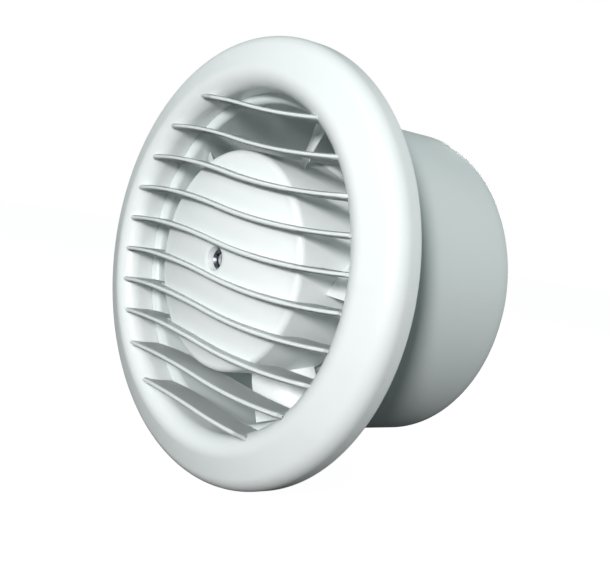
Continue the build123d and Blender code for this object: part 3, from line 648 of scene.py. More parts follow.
def principled(
    name: str, group: Tree, values: dict[str, float | tuple], bump: float, depth: float
) -> tuple[bpy.types.Material, Node]:
    """Make a material whose colour, roughness and relief come from a shared group.

    Args:
        name: The material's name.
        group: The shader group.
        values: The group's inputs in this material.
        bump: Strength of the relief, from 0 to 1.
        depth: Height of the relief, in mm.

    Returns:
        The material and its Principled node.
    """
    material = bpy.data.materials.new(name)
    material.use_nodes = True
    tree = material.node_tree
    tree.nodes.clear()
    desk = NodeDesk(tree)
    effect = desk.add("ShaderNodeGroup", node_tree=group)
    for key, value in values.items():
        effect.inputs[key].default_value = value
    relief = desk.add("ShaderNodeBump")
    relief.inputs["Strength"].default_value = bump
    relief.inputs["Distance"].default_value = depth * MM
    shader = desk.add("ShaderNodeBsdfPrincipled")
    surface = desk.add("ShaderNodeOutputMaterial")
    desk.link(effect.outputs["Height"], relief.inputs["Height"])
    desk.link(effect.outputs["Color"], shader.inputs["Base Color"])
    desk.link(effect.outputs["Roughness"], shader.inputs["Roughness"])
    desk.link(relief.outputs["Normal"], shader.inputs["Normal"])
    desk.link(shader.outputs["BSDF"], surface.inputs["Surface"])
    return material, shader


@dataclass(frozen=True)
class Plastic:
    """A moulded plastic, rubber or fibre finish."""

    slot: str
    colour: Point3
    shade: Point3
    rough: Point2 = (0.28, 0.36)
    mottle: float = 0.3
    dust: float = 0.15
    relief: float = 0.01
    specular: float = 0.5
    glow: float = 0.0
    glow_depth: float = 2.0

    def material(self) -> bpy.types.Material:
        """Build the finish's material.

        Returns:
            The material.
        """
        values = {"Color": (*self.colour, 1.0), "Shade": (*self.shade, 1.0), "Mottle": self.mottle,
                  "Dust": self.dust, "Rough Low": self.rough[0], "Rough High": self.rough[1]}
        made, shader = principled(self.slot, Effects.moulded_skin(), values, 0.35, self.relief)
        shader.inputs["Specular IOR Level"].default_value = self.specular
        shader.inputs["Subsurface Weight"].default_value = self.glow
        shader.inputs["Subsurface Radius"].default_value = (1.0, 1.0, 1.0)
        shader.inputs["Subsurface Scale"].default_value = self.glow_depth * MM
        return made


@dataclass(frozen=True)
class Metal:
    """A metal finish with its grain."""

    slot: str
    colour: Point3
    shade: Point3
    grain: Grain
    rough: Point2 = (0.25, 0.4)
    pitch: float = 0.5
    along: Point3 = (1.0, 1.0, 1.0)

    def material(self) -> bpy.types.Material:
        """Build the finish's material.

        Returns:
            The material.
        """
        ends = {"Rough Low": self.rough[0], "Rough High": self.rough[1]}
        if self.grain in (Grain.LAMINATED, Grain.WOUND):
            across_x = 1.0 if self.grain is Grain.WOUND else 0.0
            values = {"Color": (*self.colour, 1.0), "Gap": (*self.shade, 1.0), "Along X": across_x,
                      "Along Y": 1.0 - across_x, "Pitch": self.pitch, **ends}
            made, shader = principled(self.slot, Effects.stacked_layers(), values, 0.6, 0.06)
        else:
            values = {"Color": (*self.colour, 1.0), "Shade": (*self.shade, 1.0), "Along X": self.along[0],
                      "Along Y": self.along[1], "Along Z": self.along[2], **ends}
            made, shader = principled(self.slot, Effects.metal_grain(), values, 0.3, 0.02)
        shader.inputs["Metallic"].default_value = 1.0
        return made


WHITE_COVER = Plastic("cover_plastic", (0.865, 0.9, 0.895), (0.835, 0.87, 0.865), glow=0.35)
WHITE_HOUSING = Plastic("housing_plastic", (0.775, 0.83, 0.825), (0.745, 0.8, 0.795))
WHITE_IMPELLER = Plastic("impeller_plastic", (0.87, 0.9, 0.897), (0.84, 0.87, 0.867), rough=(0.3, 0.4))
SUPPORT = Plastic(
    "support_plastic", (0.66, 0.685, 0.675), (0.6, 0.63, 0.62), rough=(0.42, 0.55), relief=0.03)
BLOCK_NYLON = Plastic("block_nylon", (0.72, 0.71, 0.64), (0.62, 0.61, 0.54), rough=(0.4, 0.52), relief=0.03)
BOBBIN_NYLON = Plastic("bobbin_nylon", (0.7, 0.66, 0.5), (0.6, 0.55, 0.4), rough=(0.4, 0.5), relief=0.03)
RUBBER = Plastic(
    "grommet_rubber", (0.035, 0.035, 0.037), (0.07, 0.07, 0.07), rough=(0.6, 0.75), relief=0.04)
FIBRE = Plastic(
    "washer_fibre", (0.2, 0.09, 0.045), (0.12, 0.06, 0.03), rough=(0.6, 0.8), mottle=0.8, relief=0.05)
LEAD = Plastic("lead_insulation", (0.02, 0.05, 0.28), (0.015, 0.035, 0.2), rough=(0.35, 0.45))
SHAFT = Metal(
    "shaft_steel", (0.6, 0.6, 0.61), (0.42, 0.42, 0.44), Grain.DRAWN, (0.2, 0.32), along=(300, 6000, 300))
SPRING = Metal(
    "spring_steel", (0.16, 0.17, 0.2), (0.08, 0.08, 0.1), Grain.DRAWN, (0.3, 0.45), along=(2500, 200, 400))
SCREW = Metal(
    "screw_steel", (0.55, 0.56, 0.58), (0.36, 0.37, 0.4), Grain.DRAWN, (0.25, 0.38), along=(900, 900, 900))
STACK = Metal(
    "lamination_steel", (0.2, 0.21, 0.24), (0.05, 0.05, 0.06), Grain.LAMINATED, (0.35, 0.5), pitch=0.5)
ROTOR = Metal(
    "rotor_steel", (0.34, 0.34, 0.36), (0.12, 0.12, 0.13), Grain.LAMINATED, (0.3, 0.45), pitch=0.5)
COPPER = Metal(
    "copper", (0.66, 0.27, 0.13), (0.4, 0.14, 0.06), Grain.DRAWN, (0.25, 0.4), along=(800, 3000, 800))
COIL = Metal("coil_copper", (0.48, 0.17, 0.06), (0.12, 0.035, 0.015), Grain.WOUND, (0.25, 0.35), pitch=0.35)
BRACKET = Metal(
    "bracket_alloy", (0.52, 0.53, 0.54), (0.36, 0.37, 0.38), Grain.CAST, (0.4, 0.55), along=(700, 700, 700))
BRONZE = Metal(
    "bush_bronze", (0.42, 0.24, 0.09), (0.25, 0.13, 0.05), Grain.CAST, (0.4, 0.55), along=(1500, 1500, 1500))
BRASS = Metal(
    "terminal_brass", (0.6, 0.44, 0.17), (0.4, 0.27, 0.09), Grain.DRAWN, (0.25, 0.38), along=(900, 900, 900))
FINISHES = (
    WHITE_COVER, WHITE_HOUSING, WHITE_IMPELLER, SUPPORT, BLOCK_NYLON, BOBBIN_NYLON, RUBBER, FIBRE, LEAD,
    SHAFT, SPRING, SCREW, STACK, ROTOR, COPPER, COIL, BRACKET, BRONZE, BRASS)


@dataclass
class Dresser:
    """Gives each piece its finish and its body."""

    materials: dict[str, bpy.types.Material] = field(default_factory=dict)

    def __post_init__(self) -> None:
        """Build every finish once."""
        for finish in FINISHES:
            self.materials[finish.slot] = finish.material()

    def cad_nodes(self) -> None:
        """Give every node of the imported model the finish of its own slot."""
        for row in FRAME["record"]["subparts"]:
            mesh = FRAME["nodes"][row["node"]].data
            mesh.materials.clear()
            mesh.materials.append(self.materials[row["material_slot"]])

    def hand_over(self, piece: Piece, finish: Plastic | Metal, body: Body, *nodes: str) -> None:
        """Dress a finished piece and attach it.

        Args:
            piece: The piece.
            finish: Its finish.
            body: The body that it moves with.
            *nodes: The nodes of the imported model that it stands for.
        """
        leave_edit()
        piece.data.materials.clear()
        piece.data.materials.append(self.materials[finish.slot])
        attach(piece, body.value)
        if nodes:
            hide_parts(*nodes)
        LOG.info("%s: %d faces, rides on %s", piece.name, len(piece.data.polygons), body.value)


# The cover


@dataclass
class FrontCover:
    """The clip-on cover: a conical bezel with a rolled lip and collar, louvres, webs and spring fingers."""

    rim_radius: float = 66.5
    rim_back: float = -0.3
    rim_edge: float = 0.3
    skirt_depth: float = 4.14
    edge_round: float = 6.0
    face_angle: float = 21.6
    wall: float = 1.8
    opening_radius: float = 50.2
    lip_round: float = 5.0
    collar_back: float = -2.55
    collar_edge: float = 0.15
    louvre_count: int = 10
    louvre_pitch: float = 10.0
    louvre_wall: float = 1.45
    louvre_back: float = 3.2
    louvre_rows: tuple[float, ...] = (0.8, 0.72, 0.64, 0.56, 0.48, 0.4, 0.32, 0.25)
    station_gap: float = 1.6
    dome_depth: float = 17.2
    dome_rim: Point2 = (53.2, 11.9)
    tip_radius: float = 52.9
    tip_drop: float = 0.9
    wave_slope: float = -0.1702
    wave_radius: float = 223.0
    relief_radius: float = 34.3
    relief: float = 0.8
    relief_step: float = 0.4
    relief_end: float = 10.2
    hub_edge: float = 1.5
    web_count: int = 16
    web_wall: float = 1.2
    web_reach: float = 60.85
    web_back: float = 6.6
    finger: Point2 = (61.1, 62.6)
    finger_width: float = 9.0
    finger_back: float = 2.8

    @property
    def edge_centre(self) -> Point2:
        """Centre of the outer edge's rounding, as (radius, depth)."""
        return self.rim_radius - self.edge_round, self.skirt_depth

    @property
    def face_offset(self) -> float:
        """Distance of the conical face's line from the profile's origin."""
        a = math.radians(self.face_angle)
        return math.sin(a) * self.edge_centre[0] + math.cos(a) * self.edge_centre[1] + self.edge_round

    @property
    def lip_centre(self) -> Point2:
        """Centre of the inner lip's rounding, as (radius, depth).

        Returns:
            The centre as (radius, depth), in mm.
        """
        a = math.radians(self.face_angle)
        r = self.opening_radius + self.lip_round
        return r, (self.face_offset - self.lip_round - math.sin(a) * r) / math.cos(a)

    def profile(self) -> list[Point2]:
        """The shell's closed profile as (radius, y).

        Returns:
            Points as (radius, y), in mm.
        """
        up = 90.0 - self.face_angle
        outside = arc(self.edge_centre, self.edge_round, 0, up, 12)
        outside += arc(self.lip_centre, self.lip_round, up, 180, 16)
        inside = arc(self.lip_centre, self.lip_round - self.wall, 180, up, 8)
        inside += arc(self.edge_centre, self.edge_round - self.wall, up, 0, 8)
        collar = -self.collar_back
        rim, back = self.rim_radius, -self.rim_back
        points = [(rim - self.rim_edge, back), (rim, back + self.rim_edge)]
        points += outside
        opening = self.opening_radius
        points += [(opening, collar + self.collar_edge), (opening + self.collar_edge, collar)]
        points += [(opening + self.wall, collar)]
        points += inside
        points += [(self.rim_radius - self.wall, -self.rim_back)]
        return [(r, -depth) for r, depth in points]

    def wave(self, x: float) -> float:
        """Height of a louvre above its own level, at this x: an S of two arcs."""
        rise = self.wave_slope * abs(x) + x * x / (2 * self.wave_radius)
        return rise if x > 0 else -rise

    def dome(self, r: float) -> float:
        """Depth of the louvres' front edges at this radius: a shallow spherical cap.

        Args:
            r: Radius in mm.

        Returns:
            The depth in mm.
        """
        drop = self.dome_depth - self.dome_rim[1]
        ball = (self.dome_rim[0] ** 2 + drop ** 2) / (2 * drop)
        return self.dome_depth - ball + math.sqrt(ball * ball - r * r)

    def back(self, r: float) -> float:
        """Depth of the louvres' rear edges at this radius, clear of the hub.

        Args:
            r: Radius in mm.

        Returns:
            The depth in mm.
        """
        hub = Impeller()
        if r >= self.relief_radius + self.relief_step:
            return self.louvre_back
        edge = hub.radius - self.hub_edge
        near = hub.dome(min(r, edge)) + self.relief
        if r > edge:
            near -= (r - edge) * (near - self.relief_end) / (self.relief_radius - edge)
        if r > self.relief_radius:
            near += (self.louvre_back - near) * (r - self.relief_radius) / self.relief_step
        return near

    def louvre(self, index: int) -> Piece:
        """Make one louvre: a rounded strip drawn across the opening, then set to its wave and its dome.

        Args:
            index: Which louvre, from the bottom.

        Returns:
            The louvre.
        """
        level = (index - (self.louvre_count - 1) / 2) * self.louvre_pitch
        half = self.louvre_wall / 2
        tail = self.louvre_rows[-1]
        section = arc((1.0 - half, 0.0), half, -90, 90, 8) + [(row, half) for row in self.louvre_rows]
        section += [(tail - tail * math.sin(a), half * math.cos(a)) for a in map(math.radians, (45, 90, 135))]
        section += [(row, -half) for row in reversed(self.louvre_rows)]
        reach = math.sqrt(self.lip_centre[0] ** 2 - level ** 2) - 0.2
        stations = self.stations(reach, level)
        points = [(stations[0], y, z) for y, z in section]
        piece = begin_line(f"louvre_{index + 1}", points[0])
        draw_line(points)
        bpy.ops.mesh.select_all(action="SELECT")
        bpy.ops.mesh.edge_face_add()
        for here, there in zip(stations, stations[1:]):
            bpy.ops.mesh.extrude_region_move(TRANSFORM_OT_translate={"value": ((there - here) * MM, 0, 0)})
        bpy.ops.object.mode_set(mode="OBJECT")
        self.set_to_curves(piece, level)
        return tidy(piece, SHEET_ANGLE)

    def stations(self, reach: float, level: float) -> list[float]:
        """Places along X where a louvre gets a section, closer where it passes the hub.

        Args:
            reach: Half the louvre's length, in mm.
            level: The louvre's height, in mm.

        Returns:
            Sorted x values, in mm.
        """
        places = spaced(-reach, reach, max(int(reach / self.station_gap), 12))
        for step in (-0.1, 0.05, 0.2, self.relief_step):
            r = self.relief_radius + step
            for side in (-1, 1):
                height = level + self.wave(side * r)
                if abs(height) < r:
                    places.append(side * math.sqrt(r * r - height * height))
        return sorted(places)

    def wall_middle(self, depth: float) -> float:
        """Radius of the middle of the collar's and the lip's wall at this depth.

        Args:
            depth: Depth in mm.

        Returns:
            The radius in mm.
        """
        r, d = self.lip_centre
        if depth <= d:
            return self.opening_radius + self.wall / 2
        roll = self.lip_round - self.wall / 2
        return r - math.sqrt(max(roll ** 2 - (depth - d) ** 2, 0.0))

    def set_to_curves(self, piece: Piece, level: float) -> None:
        """Move a drawn strip's points to the wave, the dome in front and the relief behind.

        Args:
            piece: The strip; its y runs from 0 at the back to 1 at the front, in mm.
            level: The louvre's height, in mm.
        """
        nose, tail = self.louvre_rows[0], self.louvre_rows[-1]
        for vertex in piece.data.vertices:
            x, share, lift = (c / MM for c in vertex.co)
            for _ in range(3):
                r = math.hypot(x, level + self.wave(x))
                front = self.dome(r) - max(r - self.tip_radius, 0.0) * self.tip_drop
                rear = self.back(r)
                depth = front - (1.0 - share)
                if share <= nose:
                    depth = rear + (front - (1.0 - nose) - rear) * (share - tail) / (nose - tail)
                if share <= tail:
                    depth = rear + share - tail
                limit = self.wall_middle(depth)
                if r > limit:
                    x = math.copysign(math.sqrt(limit ** 2 - (level + self.wave(x)) ** 2), x)
            vertex.co = Vector((x, -depth, level + self.wave(x) + lift)) * MM

    def face_at(self, r: float, inset: float) -> float:
        """Depth of the conical face at this radius, or of a surface this far inside it."""
        a = math.radians(self.face_angle)
        return (self.face_offset - inset - math.sin(a) * r) / math.cos(a)

    def webs(self) -> list[Piece]:
        """Make the stiffening webs behind the conical face.

        Returns:
            The webs.
        """
        start, end, back = self.opening_radius + self.wall / 2, self.web_reach, self.web_back
        outline = [(start, back), (end, back), (end, self.face_at(end, self.wall / 2)),
                   (self.lip_centre[0], self.lip_centre[1] + self.lip_round - self.wall / 2),
                   (start, self.lip_centre[1])]
        corners = [(r, -depth, -self.web_wall / 2) for r, depth in outline]
        web = plate("web", corners, (0, 0, self.web_wall), 0.15)
        return copies_about_axis(web, [i * 360 / self.web_count for i in range(self.web_count)])

    def fingers(self) -> list[Piece]:
        """Make the spring fingers that grip the mounting ring's upstand.

        Returns:
            The fingers.
        """
        inner, outer = self.finger
        root = self.face_at(inner, self.wall * 0.6)
        back = self.finger_back
        outline = [(inner, root), (inner, back + 0.6), (inner + 0.5, back), (outer - 0.5, back),
                   (outer, back + 0.8), (outer, root - 0.4)]
        corners = [(r, -depth, -self.finger_width / 2) for r, depth in outline]
        finger = plate("finger", corners, (0, 0, self.finger_width), 0.2)
        return copies_about_axis(finger, [45.0, 135.0, 225.0, 315.0])

    def build(self, dresser: Dresser) -> None:
        """Build the cover and attach it.

        Args:
            dresser: What hands over the finished pieces.
        """
        shell = turn_profile("cover_shell", self.profile(), 240)
        bezel = join("bezel", [shell, *self.webs(), *self.fingers()])
        dresser.hand_over(bezel, WHITE_COVER, Body.COVER, "cover_bezel")
        louvres = [self.louvre(i) for i in range(self.louvre_count)]
        dresser.hand_over(join("louvres", louvres), WHITE_COVER, Body.COVER, "cover_louvres")


# The impeller


@dataclass
class Impeller:
    """The impeller: a domed hub shell with a shaft boss and inner ribs, and five twisted blades."""

    radius: float = 32.5
    depth: float = 15.0
    dome_drop: float = 4.2
    corner: float = 2.2
    wall: float = 1.6
    back: float = 15.0
    hole_radius: float = 3.5
    hole_length: float = 5.0
    hole_edge: float = 0.4
    skirt_edge: float = 0.3
    clip_rise: float = 3.2
    clip_gap: float = 0.2
    boss_radius: float = 4.8
    boss_back: float = 9.0
    shaft_radius: float = 2.0
    rib_count: int = 6
    rib_wall: float = 1.4
    rib_back: float = 3.0
    blade_count: int = 5
    blade_phase: float = 291.0
    blade_wall: float = 1.5
    blade_front: float = 1.2
    blade_back: float = 13.8
    root_angle: float = 46.0
    tip_angle: float = 35.6
    camber: float = 1.7
    tip_radius: float = 46.2
    blade_corner: float = 2.0
    tip_sweep: float = 1.7

    def dome(self, r: float, inset: float = 0.0) -> float:
        """Depth of the hub's dome at this radius.

        Args:
            r: Radius in mm.
            inset: How far under the dome, in mm.

        Returns:
            The depth in mm.
        """
        foot = self.radius - self.corner
        ball = (foot ** 2 + self.dome_drop ** 2) / (2 * self.dome_drop)
        return self.depth - ball + math.sqrt((ball - inset) ** 2 - r * r)

    def hub(self) -> Piece:
        """Turn the hub shell with its boss.

        Returns:
            The hub.
        """
        foot = self.radius - self.corner
        side = self.depth - self.dome_drop - self.corner
        inner = self.radius - self.wall
        hole, edge = self.hole_radius, self.hole_edge
        outside = [(hole, self.dome(hole) - edge), (hole + 0.3 * edge, self.dome(hole) - 0.3 * edge),
                   (hole + edge, self.dome(hole + edge))]
        outside += [(r, self.dome(r)) for r in spaced(hole + 1.5, foot, 16)]
        outside += arc((foot, side), self.corner, 80, 0, 9)
        skirt = [(self.radius, -self.back + self.skirt_edge), (self.radius - self.skirt_edge, -self.back),
                 (inner, -self.back)]
        inside = [(inner, self.dome(inner - 1.0, self.wall) - 1.0)]
        inside += [(r, self.dome(r, self.wall)) for r in spaced(inner - 1.0, self.boss_radius, 10)]
        hole_floor = self.depth - self.hole_length
        boss = [(self.boss_radius, -self.boss_back), (self.shaft_radius, -self.boss_back),
                (self.shaft_radius, hole_floor), (hole, hole_floor)]
        shell = turn_profile("hub_shell", [(r, -d) for r, d in outside + skirt + inside + boss], 180)
        return join("hub", [shell, *self.ribs()])

    def ribs(self) -> list[Piece]:
        """Make the ribs between the shaft boss and the hub's skirt.

        Returns:
            The ribs.
        """
        first, last = self.boss_radius - 0.5, self.radius - self.wall / 2
        outline = [(first, self.rib_back), (self.radius * 0.4, self.rib_back), (last, -self.rib_back),
                   (last, -(self.depth - self.dome_drop - self.corner - 1.0))]
        outline += [(r, -self.dome(r, self.wall / 2)) for r in spaced(last - 3.5, first, 8)]
        rib = plate("hub_rib", [(r, y, -self.rib_wall / 2) for r, y in outline], (0, 0, self.rib_wall))
        return copies_about_axis(rib, [(i + 0.5) * 360 / self.rib_count for i in range(self.rib_count)])

    def blade(self) -> Piece:
        """Make one blade along +X: a crescent drawn at the root, carried outwards and set to its twist.

        Returns:
            The blade.
        """
        section = [(u, 0.0) for u in spaced(1.0, -1.0, 14)] + [(u, 1.0) for u in spaced(-1.0, 1.0, 14)]
        first = self.radius - self.wall / 2
        rows = spaced(first, self.tip_radius, 16)
        points = [(first, u, v) for u, v in section]
        piece = begin_line("impeller_blade", points[0])
        draw_line(points)
        bpy.ops.mesh.select_all(action="SELECT")
        bpy.ops.mesh.edge_face_add()
        for here, there in zip(rows, rows[1:]):
            bpy.ops.mesh.extrude_region_move(TRANSFORM_OT_translate={"value": ((there - here) * MM, 0, 0)})
        bpy.ops.object.mode_set(mode="OBJECT")
        middle = (self.blade_front + self.blade_back) / 2
        depth = self.blade_back - self.blade_front
        angles = [math.radians(a) for a in (self.root_angle, self.tip_angle)]
        root, tip = self.radius - 4.0, self.tip_radius + 1.0
        shoulder = self.radius + self.blade_corner
        spans = [depth / 2 / math.tan(a) for a in angles]
        bows = [self.camber / math.cos(a) for a in angles]
        walls = [self.blade_wall / math.cos(a) for a in angles]
        for vertex in piece.data.vertices:
            r, u, v = (c / MM for c in vertex.co)
            share = (r - root) / (tip - root)
            span, bow, wall = (inner + (outer - inner) * share for inner, outer in (spans, bows, walls))
            bulge = max(1 - u * u, 0.0)
            edge = 0.22 + 0.78 * bulge ** 0.6
            y = middle - u * depth / 2 - bow * bulge + (v - 0.5) * wall * edge + wall * 0.5 * bulge
            if r > shoulder:
                run = (r - shoulder) / (self.tip_radius - shoulder)
                y += self.tip_sweep * run * (self.blade_back - y) / depth
            vertex.co = Vector((r, y, -u * span)) * MM
        return tidy(piece, SHEET_ANGLE)

    def clip(self) -> Piece:
        """Turn the push-on clip and cut its three slots.

        Returns:
            The clip.
        """
        outer, shaft, gap, slot_half = self.hole_radius - self.clip_gap, self.shaft_radius, 0.1, 0.3
        seat = self.depth - self.hole_length
        face = seat + self.clip_rise
        profile = [(shaft + gap, seat + gap), (outer, seat + gap), (outer, face - 0.5), (outer - 0.5, face),
                   (shaft + 0.5, face - 0.25), (shaft + gap, face - 0.8)]
        ring = turn_profile("impeller_clip", [(r, -d) for r, d in profile], 96)
        for turn in (90.0, 210.0, 330.0):
            low = (shaft - PAST, -face - PAST, -slot_half)
            slot = block("clip_slot", low, (outer - 0.35, -seat + PAST, slot_half))
            cut(ring, shift(slot, (0, 0, 0), Matrix.Rotation(math.radians(turn), 4, "Y")))
        return ring

    def build(self, dresser: Dresser) -> None:
        """Build the impeller and attach it.

        Args:
            dresser: What hands over the finished pieces.
        """
        dresser.hand_over(self.clip(), SPRING, Body.ROTOR, "impeller_clip")
        dresser.hand_over(self.hub(), WHITE_IMPELLER, Body.ROTOR, "impeller_hub")
        turns = [self.blade_phase + 360.0 * i / self.blade_count for i in range(self.blade_count)]
        blades = copies_about_axis(self.blade(), turns)
        dresser.hand_over(join("blades", blades), WHITE_IMPELLER, Body.ROTOR, "impeller_blades")


# The housing


@dataclass
class Housing:
    """The mounting ring with its upstand and bellmouth, the duct tube, and the struts inside it."""

    tube_radius: float = 49.0
    tube_bore: float = 47.4
    tube_length: float = 58.5
    tube_seat: float = 0.6
    ring_radius: float = 64.45
    ring_thickness: float = 2.5
    upstand_front: float = -5.9
    upstand_wall: float = 1.6
    flare: float = 1.8
    hole_pitch_radius: float = 58.325
    hole_radius: float = 2.1
    boss_radius: float = 3.7
    boss_height: float = 0.8
    rib_count: int = 16
    rib_reach: Point2 = (54.6, 63.5)
    rib_wall: float = 1.2
    ring_edge: float = 0.3
    grommet_y: float = 38.5
    grommet_hole: float = 4.4
    cup_radius: float = 33.0
    strut_front: float = 20.2
    strut_length: float = 12.5
    strut_wall: float = 2.6

    def ring(self) -> Piece:
        """Turn the mounting ring, and add its bosses, screw holes and ribs.

        Returns:
            The ring.
        """
        front, edge = -self.ring_thickness, self.ring_edge
        inner, outer = self.ring_radius - self.upstand_wall, self.ring_radius
        bore, tube = self.tube_bore, self.tube_radius
        points = [(bore + self.flare, front), (inner, front), (inner, self.upstand_front + edge),
                  (inner + edge, self.upstand_front), (outer - edge, self.upstand_front),
                  (outer, self.upstand_front + edge), (outer, -0.35), (outer - 0.35, 0.0), (tube, 0.0),
                  (tube - self.tube_seat, -self.tube_seat), (bore, -self.tube_seat)]
        points += arc((bore + self.flare, front + self.flare), self.flare, 180, 270, 8)[:-1]
        ring = turn_profile("ring_body", points, 240)
        for angle in (0, 90, 180, 270):
            x, z = (self.hole_pitch_radius * f(math.radians(angle)) for f in (math.cos, math.sin))
            root, top = (x, front + 0.4, z), (x, front - self.boss_height, z)
            cut(ring, rod("boss", self.boss_radius, root, top, 40, 0.2), "UNION")
            cut(ring, rod("hole", self.hole_radius, (x, 2, z), (x, -6, z), 40))
        tidy(ring, TURNED_ANGLE, FINE_MERGE)
        near, far = self.rib_reach
        outline = [(near, front + 1), (far, front + 1), (far, self.upstand_front + 0.5), (near, front - 0.5)]
        rib = plate("rib", [(r, y, -self.rib_wall / 2) for r, y in outline], (0, 0, self.rib_wall), 0.15)
        ribs = copies_about_axis(rib, [(i + 0.5) * 360 / self.rib_count for i in range(self.rib_count)])
        return join("ceiling_ring", [ring, *ribs])

    def tube(self) -> Piece:
        """Turn the duct tube and cut the hole for the grommet.

        Returns:
            The tube.
        """
        end, bore, outer, seat = self.tube_length, self.tube_bore, self.tube_radius, self.tube_seat
        rows = (4.0, 10.0, 18.0, 26.0, 32.0, 34.0, 36.0, 38.5, 41.0, 43.0, 45.0, 50.0, 55.0)
        points = [(bore, -seat), (outer - seat, -seat), (outer, 0.0)] + [(outer, y) for y in rows]
        points += arc((outer - 0.7, end - 0.7), 0.7, 0, 90, 5)
        points += arc((bore + 0.6, end - 0.6), 0.6, 90, 180, 4)
        points += [(bore, y) for y in reversed(rows)]
        tube = turn_profile("duct_spigot", points, 240)
        inside, outside = (-44, self.grommet_y, 0), (-52, self.grommet_y, 0)
        cut(tube, rod("cable_hole", self.grommet_hole, inside, outside, 64))
        return tidy(tube, TURNED_ANGLE, FINE_MERGE)

    def struts(self) -> list[Piece]:
        """Make the four streamlined struts between the motor cup and the tube.

        Returns:
            The struts.
        """
        half = self.strut_wall / 2
        front, back = self.strut_front + half, self.strut_front + self.strut_length - half
        section = arc((front, 0.0), half, 90, 270, 10) + arc((back, 0.0), half, -90, 90, 10)
        strut = plate("strut", [(self.cup_radius - 0.4, y, z) for y, z in section], (14.6, 0, 0))
        return copies_about_axis(strut, [45.0, 135.0, 225.0, 315.0])

    def grommet(self) -> Piece:
        """Turn the rubber grommet and set it in the tube's wall.

        Returns:
            The grommet.
        """
        points = arc((3.5, 46.55), 0.5, 180, 270, 4) + arc((5.2, 46.45), 0.4, 270, 360, 4)
        points += arc((5.2, 46.65), 0.4, 0, 90, 4) + [(4.38, 47.05), (4.38, 48.5)]
        points += arc((3.9, 48.35), 0.4, 40, 120, 4) + [(3.0, 48.3)]
        grommet = turn_profile("cable_bush", points, 64)
        return shift(grommet, (0, self.grommet_y, 0), Matrix.Rotation(math.radians(90), 4, "Z"))

    def build(self, dresser: Dresser) -> None:
        """Build the housing and attach it.

        Args:
            dresser: What hands over the finished pieces.
        """
        dresser.hand_over(self.ring(), WHITE_HOUSING, Body.BASE, "mounting_ring")
        dresser.hand_over(self.tube(), WHITE_HOUSING, Body.BASE, "duct_tube")
        dresser.hand_over(join("struts", self.struts()), WHITE_HOUSING, Body.BASE, "support_struts")
        dresser.hand_over(self.grommet(), RUBBER, Body.BASE, "cable_grommet")


# The motor end


